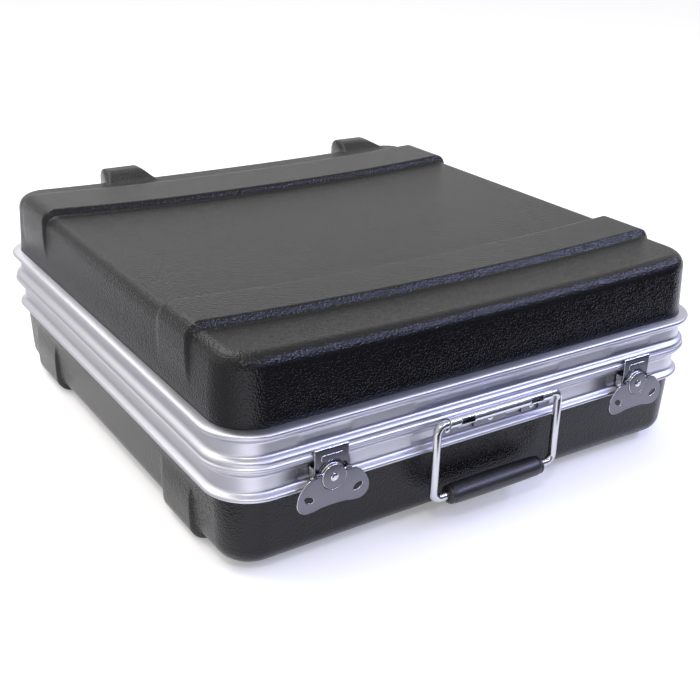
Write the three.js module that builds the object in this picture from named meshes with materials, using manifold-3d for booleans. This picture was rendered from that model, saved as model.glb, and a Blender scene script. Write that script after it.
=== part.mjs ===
// Equipment rack case: two moulded shells edged with aluminium valance, hinged at the back,
// with two turn latches, a bail handle and a cushioned rack frame inside.
// Millimetres, +Z up, front at -Y. The origin is the centre of the footprint, on the floor.
// Heights inside the root group are measured from the parting plane between lid and base.
import * as THREE from 'three';
import { mergeVertices } from 'three/addons/utils/BufferGeometryUtils.js';
import Module from 'manifold-3d';

const wasm = await Module();
wasm.setup();

// Driving dimensions
const HALF_X = 280; // recess plane of the valance, centre to side
const HALF_Y = 286.35; // recess plane of the valance, centre to front
const CORNER_R = 42; // plan radius of the recess plane
const LID_DEPTH = 101.9; // parting plane to lid panel
const BASE_DEPTH = 106; // parting plane to base panel
const RIB_RISE = 7.2; // ribs and feet stand this far proud of the panels
const PARTING_Z = BASE_DEPTH + RIB_RISE; // parting plane above the feet
const SHELL_WALL = 3;
const SHELL_DRAFT = Math.tan(THREE.MathUtils.degToRad(2.9));
const BUMPER_REACH = 23.8; // rear bumpers beyond the recess plane
const SPLIT_GAP = 0.3; // half of the gap between the two valances
const LATCH_X = 185;
const HINGE_X = 170;
const BAIL_HALF = 74; // centre of the handle to the wire's centre
const BAIL_DROP = 77.5; // pivot to the wire's lower bar
const WIRE_R = 4.1;
const RACK_UNIT = 44.45;
const RACK_UNITS = 11;

const material = (color, roughness, metalness) => new THREE.MeshStandardMaterial({ color, roughness, metalness });
const SHELL_PLASTIC = material(0x232224, 0.55, 0);
const VALANCE_METAL = material(0xc9c8cf, 0.35, 1);
const PLATED_STEEL = material(0xd4d6dc, 0.2, 1);
const DARK_PLATE = material(0x8d9098, 0.22, 1);
const ZINC_STEEL = material(0xb8bac0, 0.4, 1);
const GRIP_VINYL = material(0x151416, 0.5, 0);
const FOAM = material(0x35363a, 0.95, 0);
const PLYWOOD = material(0xb08a5c, 0.7, 0);
const RAIL_PAINT = material(0x1b1c1e, 0.45, 0.4);

const root = new THREE.Group();
root.position.z = PARTING_Z;

function addPart(name, geometry, partMaterial, parent = root) {
  const mesh = new THREE.Mesh(geometry, partMaterial);
  mesh.name = name;
  parent.add(mesh);
  return mesh;
}

// Closed meshes: welding, outward faces and boolean cuts
function signedVolume(points, triangles) {
  const a = new THREE.Vector3();
  const b = new THREE.Vector3();
  const c = new THREE.Vector3();
  let volume = 0;
  for (let i = 0; i < triangles.length; i += 3) {
    a.fromArray(points, triangles[i] * 3);
    b.fromArray(points, triangles[i + 1] * 3);
    c.fromArray(points, triangles[i + 2] * 3);
    volume += a.dot(b.cross(c));
  }
  return volume;
}

function closedMesh(points, triangles) {
  const faces = signedVolume(points, triangles) < 0 ? triangles.slice().reverse() : triangles;
  const geometry = new THREE.BufferGeometry();
  geometry.setAttribute('position', new THREE.Float32BufferAttribute(points, 3));
  geometry.setIndex(faces);
  return geometry;
}

function welded(geometry) {
  const bare = geometry.clone();
  bare.deleteAttribute('normal');
  bare.deleteAttribute('uv');
  return mergeVertices(bare, 1e-3);
}

function toSolid(geometry) {
  const mesh = welded(geometry);
  const vertProperties = new Float32Array(mesh.getAttribute('position').array);
  const triVerts = new Uint32Array(mesh.getIndex().array);
  return new wasm.Manifold(new wasm.Mesh({ numProp: 3, vertProperties, triVerts }));
}

function fromSolid(solid) {
  const mesh = solid.getMesh();
  const geometry = new THREE.BufferGeometry();
  geometry.setAttribute('position', new THREE.BufferAttribute(mesh.vertProperties, 3));
  geometry.setIndex(new THREE.BufferAttribute(mesh.triVerts, 1));
  return geometry;
}

function join(first, ...others) {
  return fromSolid(others.reduce((solid, geometry) => solid.add(toSolid(geometry)), toSolid(first)));
}

function cut(first, ...cutters) {
  return fromSolid(cutters.reduce((solid, geometry) => solid.subtract(toSolid(geometry)), toSolid(first)));
}

// The same solid reflected through the parting plane
function turnedOver(geometry) {
  const points = Array.from(geometry.getAttribute('position').array, (value, i) => (i % 3 === 2 ? -value : value));
  return closedMesh(points, Array.from(geometry.getIndex().array));
}

// Simple solids
function box(x0, x1, y0, y1, z0, z1) {
  const geometry = new THREE.BoxGeometry(x1 - x0, y1 - y0, z1 - z0);
  return geometry.translate((x0 + x1) / 2, (y0 + y1) / 2, (z0 + z1) / 2);
}

function rodX(radius, x0, x1, y, z, sides = 16) {
  const rod = new THREE.CylinderGeometry(radius, radius, x1 - x0, sides);
  return rod.rotateZ(Math.PI / 2).translate((x0 + x1) / 2, y, z);
}

function rodY(radius, y0, y1, x, z, sides = 12) {
  return new THREE.CylinderGeometry(radius, radius, y1 - y0, sides).translate(x, (y0 + y1) / 2, z);
}

function outline(points) {
  return new THREE.Shape(points.map(([x, y]) => new THREE.Vector2(x, y)));
}

// A section drawn in the YZ plane, run along X
function alongX(section, x0, x1, curveSegments = 12) {
  const shape = Array.isArray(section) ? outline(section) : section;
  const slab = new THREE.ExtrudeGeometry(shape, { depth: x1 - x0, bevelEnabled: false, curveSegments });
  const yAxis = new THREE.Vector3(0, 1, 0);
  const zAxis = new THREE.Vector3(0, 0, 1);
  const xAxis = new THREE.Vector3(1, 0, 0);
  const turn = new THREE.Matrix4().makeBasis(yAxis, zAxis, xAxis);
  return slab.applyMatrix4(turn).translate(x0, 0, 0);
}

// A shape drawn in the XZ plane, from distance `near` to `far` in front of the recess plane
function facingFront(shape, near, far, curveSegments = 12) {
  const slab = new THREE.ExtrudeGeometry(shape, { depth: far - near, bevelEnabled: false, curveSegments });
  return slab.rotateX(Math.PI / 2).translate(0, -near, 0);
}

// A domed rivet whose shank runs along -Y from its seat, head towards +Y
function rivet(headR, headHeight, shankR, shankLength) {
  const profile = [
    [0, -shankLength], [shankR, -shankLength], [shankR, 0], [headR, 0],
    [headR * 0.8, headHeight * 0.6], [0, headHeight],
  ];
  return new THREE.LatheGeometry(profile.map(([r, y]) => new THREE.Vector2(r, y)), 8);
}

const RIVET = { headR: 3.2, headHeight: 1.3, shankR: 1.6, holeR: 1.95, seatGap: 0.05 };

// side is -1 for the front recess and 1 for the rear recess
function addRivet(name, side, x, seat, z, shankLength, parent) {
  const mesh = addPart(name, rivet(RIVET.headR, RIVET.headHeight, RIVET.shankR, shankLength), PLATED_STEEL, parent);
  mesh.position.set(x, side * (seat + RIVET.seatGap), z);
  mesh.rotation.z = side < 0 ? Math.PI : 0;
  return mesh;
}

// Rounded-rectangle frames: a section of [offset, height] points swept round the case
const CORNER_STEPS = 5;

function planStations() {
  const stations = [];
  const corners = [[1, -1, -90], [1, 1, 0], [-1, 1, 90], [-1, -1, 180]];
  for (const [sx, sy, start] of corners) {
    for (let i = 0; i <= CORNER_STEPS; i++) {
      const angle = THREE.MathUtils.degToRad(start + (90 * i) / CORNER_STEPS);
      const normal = new THREE.Vector2(Math.cos(angle), Math.sin(angle));
      const centre = new THREE.Vector2(sx * (HALF_X - CORNER_R), sy * (HALF_Y - CORNER_R));
      stations.push({ centre, normal });
    }
  }
  return stations;
}

function frame(section) {
  const points = [];
  const triangles = [];
  const stations = planStations();
  for (const { centre, normal } of stations) {
    for (const [offset, z] of section) {
      const reach = CORNER_R + offset;
      points.push(centre.x + normal.x * reach, centre.y + normal.y * reach, z);
    }
  }
  const n = section.length;
  for (let s = 0; s < stations.length; s++) {
    const here = s * n;
    const next = ((s + 1) % stations.length) * n;
    for (let i = 0; i < n; i++) {
      const j = (i + 1) % n;
      triangles.push(here + i, next + i, next + j, here + i, next + j, here + j);
    }
  }
  return closedMesh(points, triangles);
}

// Valance sections: a formed lip, a flat recess, a bead at the split and a channel for the shell
const LID_SECTION = [
  [-1.9, 36.6], [1.0, 36.4], [5.4, 34.0], [7.6, 32.5], [8.0, 31.0], [7.2, 29.4], [3.4, 27.6], [0.7, 26.0],
  [0, 24.6], [0, 13.4], [0.8, 11.4], [3.2, 9.6], [5.2, 7.8], [6.2, 4.8], [7.0, 1.9], [6.5, SPLIT_GAP],
  [-3.2, SPLIT_GAP], [-3.4, -3.4], [-5.0, -3.4], [-5.2, SPLIT_GAP], [-7.0, SPLIT_GAP],
  [-7.0, 22], [-5.5, 22], [-5.5, 12], [-1.9, 12],
];
const BASE_SECTION = [
  [-2.4, -SPLIT_GAP], [4.6, -SPLIT_GAP], [5.2, -1.4], [4.2, -3.4], [1.4, -5.6], [-1.2, -7.4], [-1.8, -9.2],
  [-1.8, -22.6], [-1.0, -24.6], [1.4, -26.2], [3.6, -27.6], [4.2, -29.2], [3.6, -30.8], [1.2, -32.0],
  [-3.4, -32.4], [-3.4, -12], [-7.0, -12], [-7.0, -22], [-8.4, -22], [-8.4, -SPLIT_GAP],
  [-6.0, -SPLIT_GAP], [-6.0, -4.4], [-2.4, -4.4],
];
const LID_RECESS = 0; // offset of the lid valance's recess wall
const BASE_RECESS = -1.8; // offset of the base valance's recess wall
const LID_SHELL_OFFSET = -2.2;
const BASE_SHELL_OFFSET = -3.7;
const PLATE_GAP = 0.3;

// Fastener places, shared by the holes and the rivets
const LATCH_RIVETS = [-12.5, 12.5];
const LATCH_RIVET_Z = -16;
const HANDLE_RIVETS = [-52, 0, 52];
const HANDLE_RIVET_Z = -16;
const HINGE_RIVETS = [-11, 11];
const LID_LEAF_RIVET_Z = 18.8;
const BASE_LEAF_RIVET_Z = -16;
const SPLICE_RIVETS = [-16, 16];

function recessHoles(side, places) {
  const near = -3.6;
  const far = 3;
  const ends = [side * (HALF_Y + near), side * (HALF_Y + far)].sort((a, b) => a - b);
  return places.map(([x, z]) => rodY(RIVET.holeR, ends[0], ends[1], x, z, 8));
}

function lidValance() {
  const rear = [-HINGE_X, HINGE_X].flatMap((x) => HINGE_RIVETS.map((dx) => [x + dx, LID_LEAF_RIVET_Z]));
  rear.push(...SPLICE_RIVETS.map((x) => [x, LID_LEAF_RIVET_Z]));
  return cut(frame(LID_SECTION), ...recessHoles(1, rear));
}

function baseValance() {
  const front = [-LATCH_X, LATCH_X].flatMap((x) => LATCH_RIVETS.map((dx) => [x + dx, LATCH_RIVET_Z]));
  front.push(...HANDLE_RIVETS.map((x) => [x, HANDLE_RIVET_Z]));
  const rear = [-HINGE_X, HINGE_X].flatMap((x) => HINGE_RIVETS.map((dx) => [x + dx, BASE_LEAF_RIVET_Z]));
  rear.push(...SPLICE_RIVETS.map((x) => [x, BASE_LEAF_RIVET_Z]));
  return cut(frame(BASE_SECTION), ...recessHoles(-1, front), ...recessHoles(1, rear));
}

// Shells: a drafted wall with a rounded edge, ribs across the panel and two hollow rear bumpers.
// Built opening downwards with the panel up; the base is the same form turned over.
const smooth = (t) => THREE.MathUtils.smoothstep(t, 0, 1);
const RIB_FLANK = 13;
const FLANK_STEPS = [0, 0.35, 0.65, 1];
const BUMPERS = [[-152, -106], [191, 237]]; // outer face of each bumper along X
const BUMPER_FLANK = 9;

function ribRise(y, ribs) {
  const band = ([low, high]) => smooth((y - low + RIB_FLANK) / RIB_FLANK) * smooth((high + RIB_FLANK - y) / RIB_FLANK);
  return RIB_RISE * Math.max(...ribs.map(band));
}

// Stations round the plan: a point on the inner corner outline and its outward normal
function shellStations(ribs) {
  const a = HALF_X - CORNER_R;
  const b = HALF_Y - CORNER_R;
  const flanks = ribs.flatMap(([low, high]) => [
    ...FLANK_STEPS.map((t) => low - RIB_FLANK + t * RIB_FLANK),
    ...FLANK_STEPS.map((t) => high + t * RIB_FLANK),
  ]);
  const side = [-b, ...flanks, b];
  const corner = (sx, sy, start) => Array.from({ length: CORNER_STEPS - 1 }, (_, i) => {
    const angle = THREE.MathUtils.degToRad(start + (90 * (i + 1)) / CORNER_STEPS);
    return { x: sx * a, y: sy * b, nx: Math.cos(angle), ny: Math.sin(angle) };
  });
  const right = side.map((y) => ({ x: a, y, nx: 1, ny: 0 }));
  const left = side.map((y) => ({ x: -a, y, nx: -1, ny: 0 })).reverse();
  const front = [{ x: -a, y: -b, nx: 0, ny: -1 }, { x: a, y: -b, nx: 0, ny: -1 }];
  const rear = [{ x: a, y: b, nx: 0, ny: 1 }, { x: -a, y: b, nx: 0, ny: 1 }];
  return [front, corner(1, -1, -90), right, corner(1, 1, 0), rear, corner(-1, 1, 90), left, corner(-1, -1, 180)].flat();
}

function skinRing(stations, spec, thickness, z, edge, raised) {
  const draft = SHELL_DRAFT * Math.max(0, z - spec.lipZ);
  const reach = CORNER_R + spec.offset - thickness - draft - edge;
  return stations.map(({ x, y, nx, ny }) => {
    const py = y + ny * reach;
    return [x + nx * reach, py, z + (raised ? ribRise(py, spec.ribs) : 0)];
  });
}

// Flat-bottomed plug bounded by one skin of the shell; rows join stations of equal Y
function skinPlug(spec, thickness, rimZ) {
  const stations = shellStations(spec.ribs);
  const count = stations.length;
  const edgeR = spec.edgeR - thickness;
  const top = spec.depth - thickness;
  const rings = [rimZ, spec.lipZ].map((z) => skinRing(stations, spec, thickness, z, 0, false));
  for (const degrees of [0, 30, 60, 90]) {
    const angle = THREE.MathUtils.degToRad(degrees);
    const z = top - edgeR * (1 - Math.sin(angle));
    rings.push(skinRing(stations, spec, thickness, z, edgeR * (1 - Math.cos(angle)), true));
  }
  const triangles = [];
  for (let r = 0; r < rings.length - 1; r++) {
    for (let s = 0; s < count; s++) {
      const low = r * count;
      const high = low + count;
      const t = (s + 1) % count;
      triangles.push(low + s, low + t, high + t, low + s, high + t, high + s);
    }
  }
  const last = (rings.length - 1) * count;
  for (let i = 0; i < count / 2 - 1; i++) {
    const left = (count - i) % count;
    const nextLeft = count - i - 1;
    triangles.push(last + left, last + i + 1, last + i + 2, last + left, last + i + 2, last + nextLeft);
    triangles.push(left, i + 2, i + 1, left, nextLeft, i + 2);
  }
  return closedMesh(rings.flat(2), triangles);
}

// Bumper body: a section in YZ crossed with a tapered outline in XY, `inset` inside the outer skin
function bumper(spec, [low, high], inset) {
  const outer = HALF_Y + BUMPER_REACH - inset;
  const top = spec.depth + RIB_RISE - inset;
  const bottom = spec.lipZ + 5 + inset;
  const slope = 20;
  const roundR = 12 - inset;
  const panelY = HALF_Y - 26 + inset;
  const section = new THREE.Shape();
  section.moveTo(panelY, bottom);
  section.lineTo(HALF_Y - 4, bottom);
  section.lineTo(outer, bottom + slope);
  section.lineTo(outer, top - roundR);
  section.absarc(outer - roundR, top - roundR, roundR, 0, Math.PI / 2, false);
  section.lineTo(panelY + RIB_FLANK, top);
  section.lineTo(panelY, top - RIB_RISE - 1);
  section.closePath();
  const x0 = low - BUMPER_FLANK + inset;
  const x1 = high + BUMPER_FLANK - inset;
  const slab = alongX(section, x0 - 1, x1 + 1, 3);
  const taper = outline([[x0, panelY - 1], [x1, panelY - 1], [x1, HALF_Y - 6], [high - inset, outer + 1],
    [low + inset, outer + 1], [x0, HALF_Y - 6]]);
  const plan = new THREE.ExtrudeGeometry(taper, { depth: top + 2, bevelEnabled: false });
  return toSolid(slab).intersect(toSolid(plan));
}

function shell(spec) {
  const rimZ = 12.4;
  let outer = toSolid(skinPlug(spec, 0, rimZ));
  let inner = toSolid(skinPlug(spec, SHELL_WALL, rimZ - 1));
  for (const span of BUMPERS) {
    outer = outer.add(bumper(spec, span, 0));
    inner = inner.add(bumper(spec, span, SHELL_WALL));
  }
  const skin = fromSolid(outer.subtract(inner));
  return spec.turnedOver ? turnedOver(skin) : skin;
}

const LID_SPEC = {
  depth: LID_DEPTH, offset: LID_SHELL_OFFSET, lipZ: 37, edgeR: 15,
  ribs: [[-205, -151], [161, 227]], turnedOver: false,
};
const BASE_SPEC = {
  depth: BASE_DEPTH, offset: BASE_SHELL_OFFSET, lipZ: 33, edgeR: 20,
  ribs: [[-200, -142], [160, 220]], turnedOver: true,
};

// Rear hinges: two leaves that follow the valance section, and a pin
const HINGE = { reach: 10.8, barrelR: 3.3, holeR: 1.75, pinR: 1.4, halfWidth: 19, middle: 7, gap: 0.3 };
const LID_LEAF = [
  [0.3, 24.2], [0.3, 13.2], [1.3, 12.1], [3.9, 10.3], [6.0, 8.1], [7.1, 4.9], [8.0, 2.4], [8.9, 0.9],
  [10.0, 2.5], [8.6, 5.5], [7.3, 9.0], [4.9, 11.3], [2.2, 13.1], [1.7, 13.9], [1.7, 24.2],
];
const BASE_LEAF = [
  [-1.5, -21.8], [-1.5, -9.7], [-0.8, -8.3], [2.0, -6.4], [5.2, -4.2], [7.4, -2.6], [8.9, -0.9],
  [10.0, -2.5], [7.8, -4.3], [5.8, -5.7], [2.8, -7.7], [0.4, -9.4], [-0.1, -10.2], [-0.1, -21.8],
];

function hingeLeaf(section, barrels, recessZ) {
  const { reach, barrelR, holeR, halfWidth, gap } = HINGE;
  const strip = alongX(section, -halfWidth, halfWidth);
  const tubes = barrels.map(([x0, x1]) => rodX(barrelR, x0, x1, reach, 0));
  const clear = [];
  const edges = [-halfWidth - 1, ...barrels.flat(), halfWidth + 1];
  for (let i = 0; i < edges.length; i += 2) {
    if (edges[i + 1] - edges[i] > 2) clear.push(rodX(barrelR + gap, edges[i], edges[i + 1], reach, 0));
  }
  const holes = HINGE_RIVETS.map((x) => rodY(RIVET.holeR, -4, 4, x, recessZ, 8));
  const bore = rodX(holeR, -halfWidth - 1, halfWidth + 1, reach, 0);
  return cut(join(strip, ...tubes), ...clear, bore, ...holes);
}

function hingePin() {
  const { pinR, halfWidth, gap } = HINGE;
  const headR = 2.6;
  const headLength = 1.2;
  const end = halfWidth + gap;
  const profile = [
    [0, -end - headLength], [headR, -end - headLength], [headR, -end], [pinR, -end],
    [pinR, end], [headR, end], [headR, end + headLength], [0, end + headLength],
  ];
  const pin = new THREE.LatheGeometry(profile.map(([r, y]) => new THREE.Vector2(r, y)), 12);
  return pin.rotateZ(Math.PI / 2).translate(0, HINGE.reach, 0);
}

function addHinge(label, x) {
  const group = new THREE.Group();
  group.position.set(x, HALF_Y, 0);
  root.add(group);
  const { halfWidth, middle, gap } = HINGE;
  const outerBarrels = [[-halfWidth, -middle - gap], [middle + gap, halfWidth]];
  addPart(`hinge_lid_leaf_${label}`, hingeLeaf(LID_LEAF, outerBarrels, LID_LEAF_RIVET_Z), ZINC_STEEL, group);
  addPart(`hinge_base_leaf_${label}`, hingeLeaf(BASE_LEAF, [[-middle, middle]], BASE_LEAF_RIVET_Z), ZINC_STEEL, group);
  addPart(`hinge_pin_${label}`, hingePin(), PLATED_STEEL, group);
  for (const [i, dx] of HINGE_RIVETS.entries()) {
    addRivet(`hinge_lid_rivet_${label}_${i + 1}`, 1, x + dx, HALF_Y + 1.7, LID_LEAF_RIVET_Z, 3.2, root);
    addRivet(`hinge_base_rivet_${label}_${i + 1}`, 1, x + dx, HALF_Y - 0.1, BASE_LEAF_RIVET_Z, 3.0, root);
  }
}

// Splice plates cover the joint in each valance at the middle of the back
function splicePlate(recess, zLow, zHigh, rivetZ) {
  const near = HALF_Y + recess + PLATE_GAP;
  const plate = box(-26, 26, near, near + 1.2, zLow, zHigh);
  return cut(plate, ...SPLICE_RIVETS.map((x) => rodY(RIVET.holeR, near - 2, near + 4, x, rivetZ, 8)));
}

function addSplices() {
  addPart('lid_splice_plate', splicePlate(LID_RECESS, 14, 24, LID_LEAF_RIVET_Z), VALANCE_METAL);
  addPart('base_splice_plate', splicePlate(BASE_RECESS, -21.8, -10, BASE_LEAF_RIVET_Z), VALANCE_METAL);
  for (const [i, x] of SPLICE_RIVETS.entries()) {
    addRivet(`lid_splice_rivet_${i + 1}`, 1, x, HALF_Y + LID_RECESS + 1.5, LID_LEAF_RIVET_Z, 3.0, root);
    addRivet(`base_splice_rivet_${i + 1}`, 1, x, HALF_Y + BASE_RECESS + 1.5, BASE_LEAF_RIVET_Z, 3.0, root);
  }
}

// Turn latches, drawn about the rotor's axis. Distances are in front of the recess plane.
const LATCH = {
  halfWidth: 17.2, rotorZ: -18.5, discR: 12, flangeR: 15, shankR: 2.5,
  hookNear: 8.3, hookFar: 9.5, discNear: 10.6, discFar: 13.9, wingNear: 12.1, wingFar: 13.7,
  pinZ: -13.5, pinReach: 12.9, pinR: 0.9, travel: 6,
};

function latchPlate() {
  const { halfWidth, rotorZ, shankR } = LATCH;
  const near = BASE_RECESS + PLATE_GAP;
  const section = [
    [-near, -22.2], [-near - 1.4, -22.2], [-near - 1.4, -9.9], [-near, -9.9],
  ];
  const web = alongX(section, -halfWidth, halfWidth);
  const flange = (x) => box(x, x + 1.3, -7.6, -near - 0.7, -22.2, -9.9);
  const holes = LATCH_RIVETS.map((x) => rodY(RIVET.holeR, -3, 4, x, LATCH_RIVET_Z, 8));
  const bore = rodY(shankR + 0.3, -3, 4, 0, rotorZ, 16);
  return cut(join(web, flange(-halfWidth), flange(halfWidth - 1.3)), ...holes, bore);
}

function latchHook() {
  const { halfWidth, rotorZ, shankR, hookNear, hookFar, travel } = LATCH;
  const top = 9;
  const eyeR = 13;
  const shoulder = -17.6;
  const shape = new THREE.Shape();
  shape.moveTo(-halfWidth, top);
  shape.lineTo(-halfWidth, shoulder);
  shape.lineTo(-eyeR, shoulder - 1.2);
  shape.absarc(0, shoulder - 2.2, eyeR, Math.PI, 2 * Math.PI, false);
  shape.lineTo(eyeR, shoulder - 1.2);
  shape.lineTo(halfWidth, shoulder);
  shape.lineTo(halfWidth, top);
  shape.closePath();
  const slotR = shankR + 0.5;
  const slot = new THREE.Path();
  slot.absarc(0, rotorZ, slotR, 0, Math.PI, false);
  slot.absarc(0, rotorZ - travel, slotR, Math.PI, 2 * Math.PI, false);
  slot.closePath();
  shape.holes.push(slot);
  const claw = box(-halfWidth, halfWidth, -hookFar + 0.2, -hookNear + 0.9, top - 1.4, top);
  const ledge = box(-11, 11, -hookFar - 0.9, -hookFar + 0.4, -2.9, 2.4);
  return join(facingFront(shape, hookNear, hookFar, 8), claw, ledge);
}

function latchRotor() {
  const { discR, flangeR, discNear, discFar, pinZ, pinReach, pinR, rotorZ, shankR } = LATCH;
  const bore = shankR + 0.3;
  const flangeNear = discNear - 0.8;
  const profile = [
    [bore, flangeNear], [flangeR, flangeNear], [flangeR, discNear], [discR, discNear],
    [discR, discFar - 0.7], [discR - 0.8, discFar], [bore, discFar], [bore, flangeNear],
  ];
  const disc = new THREE.LatheGeometry(profile.map(([r, y]) => new THREE.Vector2(r, y)), 22);
  disc.rotateX(Math.PI).translate(0, 0, rotorZ);
  return cut(disc, rodX(pinR + 0.3, -discR - 4, discR + 4, -pinReach, pinZ, 10));
}

function latchWing() {
  const { rotorZ, discR, wingNear, wingFar, pinZ, pinReach, pinR } = LATCH;
  const lobe = { x: 26, z: -37.3, r: 11 };
  const shoulderX = 22;
  const shape = new THREE.Shape();
  const notchR = discR + 0.6;
  const notchTop = Math.asin((pinZ - 2 - rotorZ) / notchR);
  shape.absarc(0, rotorZ, notchR, notchTop, Math.PI - notchTop, true);
  shape.lineTo(-shoulderX, pinZ - 2);
  shape.quadraticCurveTo(-28, pinZ - 4, -31.5, -24);
  shape.quadraticCurveTo(-37, -31, -37, lobe.z);
  shape.absarc(-lobe.x, lobe.z, lobe.r, Math.PI, 1.5 * Math.PI, false);
  shape.quadraticCurveTo(-12, -47.5, 0, -46);
  shape.quadraticCurveTo(12, -47.5, lobe.x, lobe.z - lobe.r);
  shape.absarc(lobe.x, lobe.z, lobe.r, 1.5 * Math.PI, 2 * Math.PI, false);
  shape.quadraticCurveTo(37, -31, 31.5, -24);
  shape.quadraticCurveTo(28, pinZ - 4, shoulderX, pinZ - 2);
  shape.closePath();
  for (const side of [-1, 1]) {
    const hole = new THREE.Path();
    hole.absellipse(side * 25, -35.2, 5.2, 3, 0, 2 * Math.PI, false, side * 0.5);
    shape.holes.push(hole);
  }
  const plate = facingFront(shape, wingNear, wingFar, 4);
  const ears = [[-17.5, -13], [13, 17.5]].map(([x0, x1]) => rodX(2.1, x0, x1, -pinReach, pinZ, 12));
  const webs = [[-17.5, -13], [13, 17.5]].map(([x0, x1]) => box(x0, x1, -wingFar, -wingNear, pinZ - 2.6, pinZ));
  return cut(join(plate, ...ears, ...webs), rodX(pinR + 0.3, -20, 20, -pinReach, pinZ, 10));
}

function latchPivot() {
  const { discFar, shankR } = LATCH;
  const near = BASE_RECESS + PLATE_GAP;
  const headR = 4;
  const profile = [
    [0, near], [shankR, near], [shankR, discFar + 0.3], [headR, discFar + 0.3],
    [headR * 0.85, discFar + 1.2], [0, discFar + 1.7],
  ];
  const pivot = new THREE.LatheGeometry(profile.map(([r, y]) => new THREE.Vector2(r, y)), 12);
  return pivot.rotateX(Math.PI).translate(0, 0, LATCH.rotorZ);
}

function addLatch(label, x) {
  const group = new THREE.Group();
  group.position.set(x, -HALF_Y, 0);
  root.add(group);
  const { pinR, pinReach, pinZ } = LATCH;
  addPart(`latch_plate_${label}`, latchPlate(), PLATED_STEEL, group);
  addPart(`latch_hook_${label}`, latchHook(), DARK_PLATE, group);
  addPart(`latch_rotor_${label}`, latchRotor(), DARK_PLATE, group);
  addPart(`latch_wing_${label}`, latchWing(), DARK_PLATE, group);
  addPart(`latch_wing_pin_${label}`, rodX(pinR, -17.2, 17.2, -pinReach, pinZ, 10), PLATED_STEEL, group);
  addPart(`latch_pivot_${label}`, latchPivot(), PLATED_STEEL, group);
  for (const [i, dx] of LATCH_RIVETS.entries()) {
    addRivet(`latch_rivet_${label}_${i + 1}`, -1, x + dx, HALF_Y - 0.1, LATCH_RIVET_Z, 3.0, root);
  }
}

// Handle: a plate with a rolled knuckle, a wire bail and a moulded grip
const HANDLE = { halfWidth: 62, tubeReach: 12.8, tubeZ: -0.5, tubeR: 5.5, bore: 4.45 };
const HANDLE_SECTION = [
  [-1.5, -22.2], [-1.5, -10.4], [-0.6, -8.9], [4.0, -6.5], [7.2, -5.4], [10.4, -3.6],
  [13.2, -4.9], [9.6, -6.6], [4.6, -8.0], [0.6, -10.0], [-0.1, -11.0], [-0.1, -22.2],
];

function handlePlate() {
  const { halfWidth, tubeReach, tubeZ, tubeR, bore } = HANDLE;
  const plate = alongX(HANDLE_SECTION.map(([reach, z]) => [-reach, z]), -halfWidth, halfWidth);
  const tube = rodX(tubeR, -halfWidth, halfWidth, -tubeReach, tubeZ, 16);
  const hole = rodX(bore, -halfWidth - 1, halfWidth + 1, -tubeReach, tubeZ, 16);
  const rivets = HANDLE_RIVETS.map((x) => rodY(RIVET.holeR, -3, 4, x, HANDLE_RIVET_Z, 8));
  const windows = [[-50, -34], [34, 50]].map(([x0, x1]) => box(x0, x1, -26, -15.4, -3.2, 2.2));
  const tabGaps = [[-39, -20], [20, 39]].map(([x0, x1]) => box(x0, x1, -4, 4, -24, -10.6));
  return cut(join(plate, tube), hole, ...rivets, ...windows, ...tabGaps);
}

// A path whose stations sit exactly on its key points
class KeyPath extends THREE.Curve {
  constructor(points) {
    super();
    this.points = points;
  }
  getPoint(t) {
    const place = THREE.MathUtils.clamp(t, 0, 1) * (this.points.length - 1);
    const i = Math.min(Math.floor(place), this.points.length - 2);
    return this.points[i].clone().lerp(this.points[i + 1], place - i);
  }
  getPointAt(u) {
    return this.getPoint(u);
  }
  getTangentAt(u) {
    return this.getTangent(u);
  }
}

function bailPoints() {
  const { tubeReach, tubeZ } = HANDLE;
  const bend = 8;
  const steps = 5;
  const low = tubeZ - BAIL_DROP;
  const innerEnd = 52;
  const points = [new THREE.Vector3(-innerEnd, -tubeReach, tubeZ)];
  const corners = [[-1, tubeZ - bend, 90], [-1, low + bend, 180], [1, low + bend, 270], [1, tubeZ - bend, 0]];
  for (const [side, z, start] of corners) {
    for (let i = 0; i <= steps; i++) {
      const angle = THREE.MathUtils.degToRad(start + (90 * i) / steps);
      const x = side * (BAIL_HALF - bend) + bend * Math.cos(angle);
      points.push(new THREE.Vector3(x, -tubeReach, z + bend * Math.sin(angle)));
    }
  }
  points.push(new THREE.Vector3(innerEnd, -tubeReach, tubeZ));
  return points;
}

function bail() {
  const path = new KeyPath(bailPoints());
  const section = new THREE.Shape().absarc(0, 0, WIRE_R, 0, 2 * Math.PI, false);
  const options = { steps: path.points.length - 1, extrudePath: path, curveSegments: 5 };
  return new THREE.ExtrudeGeometry(section, options);
}

function grip() {
  const { tubeReach, tubeZ } = HANDLE;
  const halfLength = 57.5;
  const outer = 10.5;
  const bore = WIRE_R + 0.35;
  const profile = [
    [bore, -halfLength], [outer - 3, -halfLength], [outer - 1, -halfLength + 1.5], [outer, -halfLength + 5],
    [outer + 0.5, 0], [outer, halfLength - 5], [outer - 1, halfLength - 1.5], [outer - 3, halfLength],
    [bore, halfLength], [bore, -halfLength],
  ];
  const body = new THREE.LatheGeometry(profile.map(([r, y]) => new THREE.Vector2(r, y)), 16);
  return body.rotateZ(Math.PI / 2).translate(0, -tubeReach, tubeZ - BAIL_DROP);
}

function addHandle() {
  const group = new THREE.Group();
  group.position.set(0, -HALF_Y, 0);
  root.add(group);
  addPart('handle_plate', handlePlate(), PLATED_STEEL, group);
  addPart('handle_bail', bail(), PLATED_STEEL, group);
  addPart('handle_grip', grip(), GRIP_VINYL, group);
  for (const [i, x] of HANDLE_RIVETS.entries()) {
    addRivet(`handle_rivet_${i + 1}`, -1, x, HALF_Y - 0.1, HANDLE_RIVET_Z, 3.0, root);
  }
}

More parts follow.
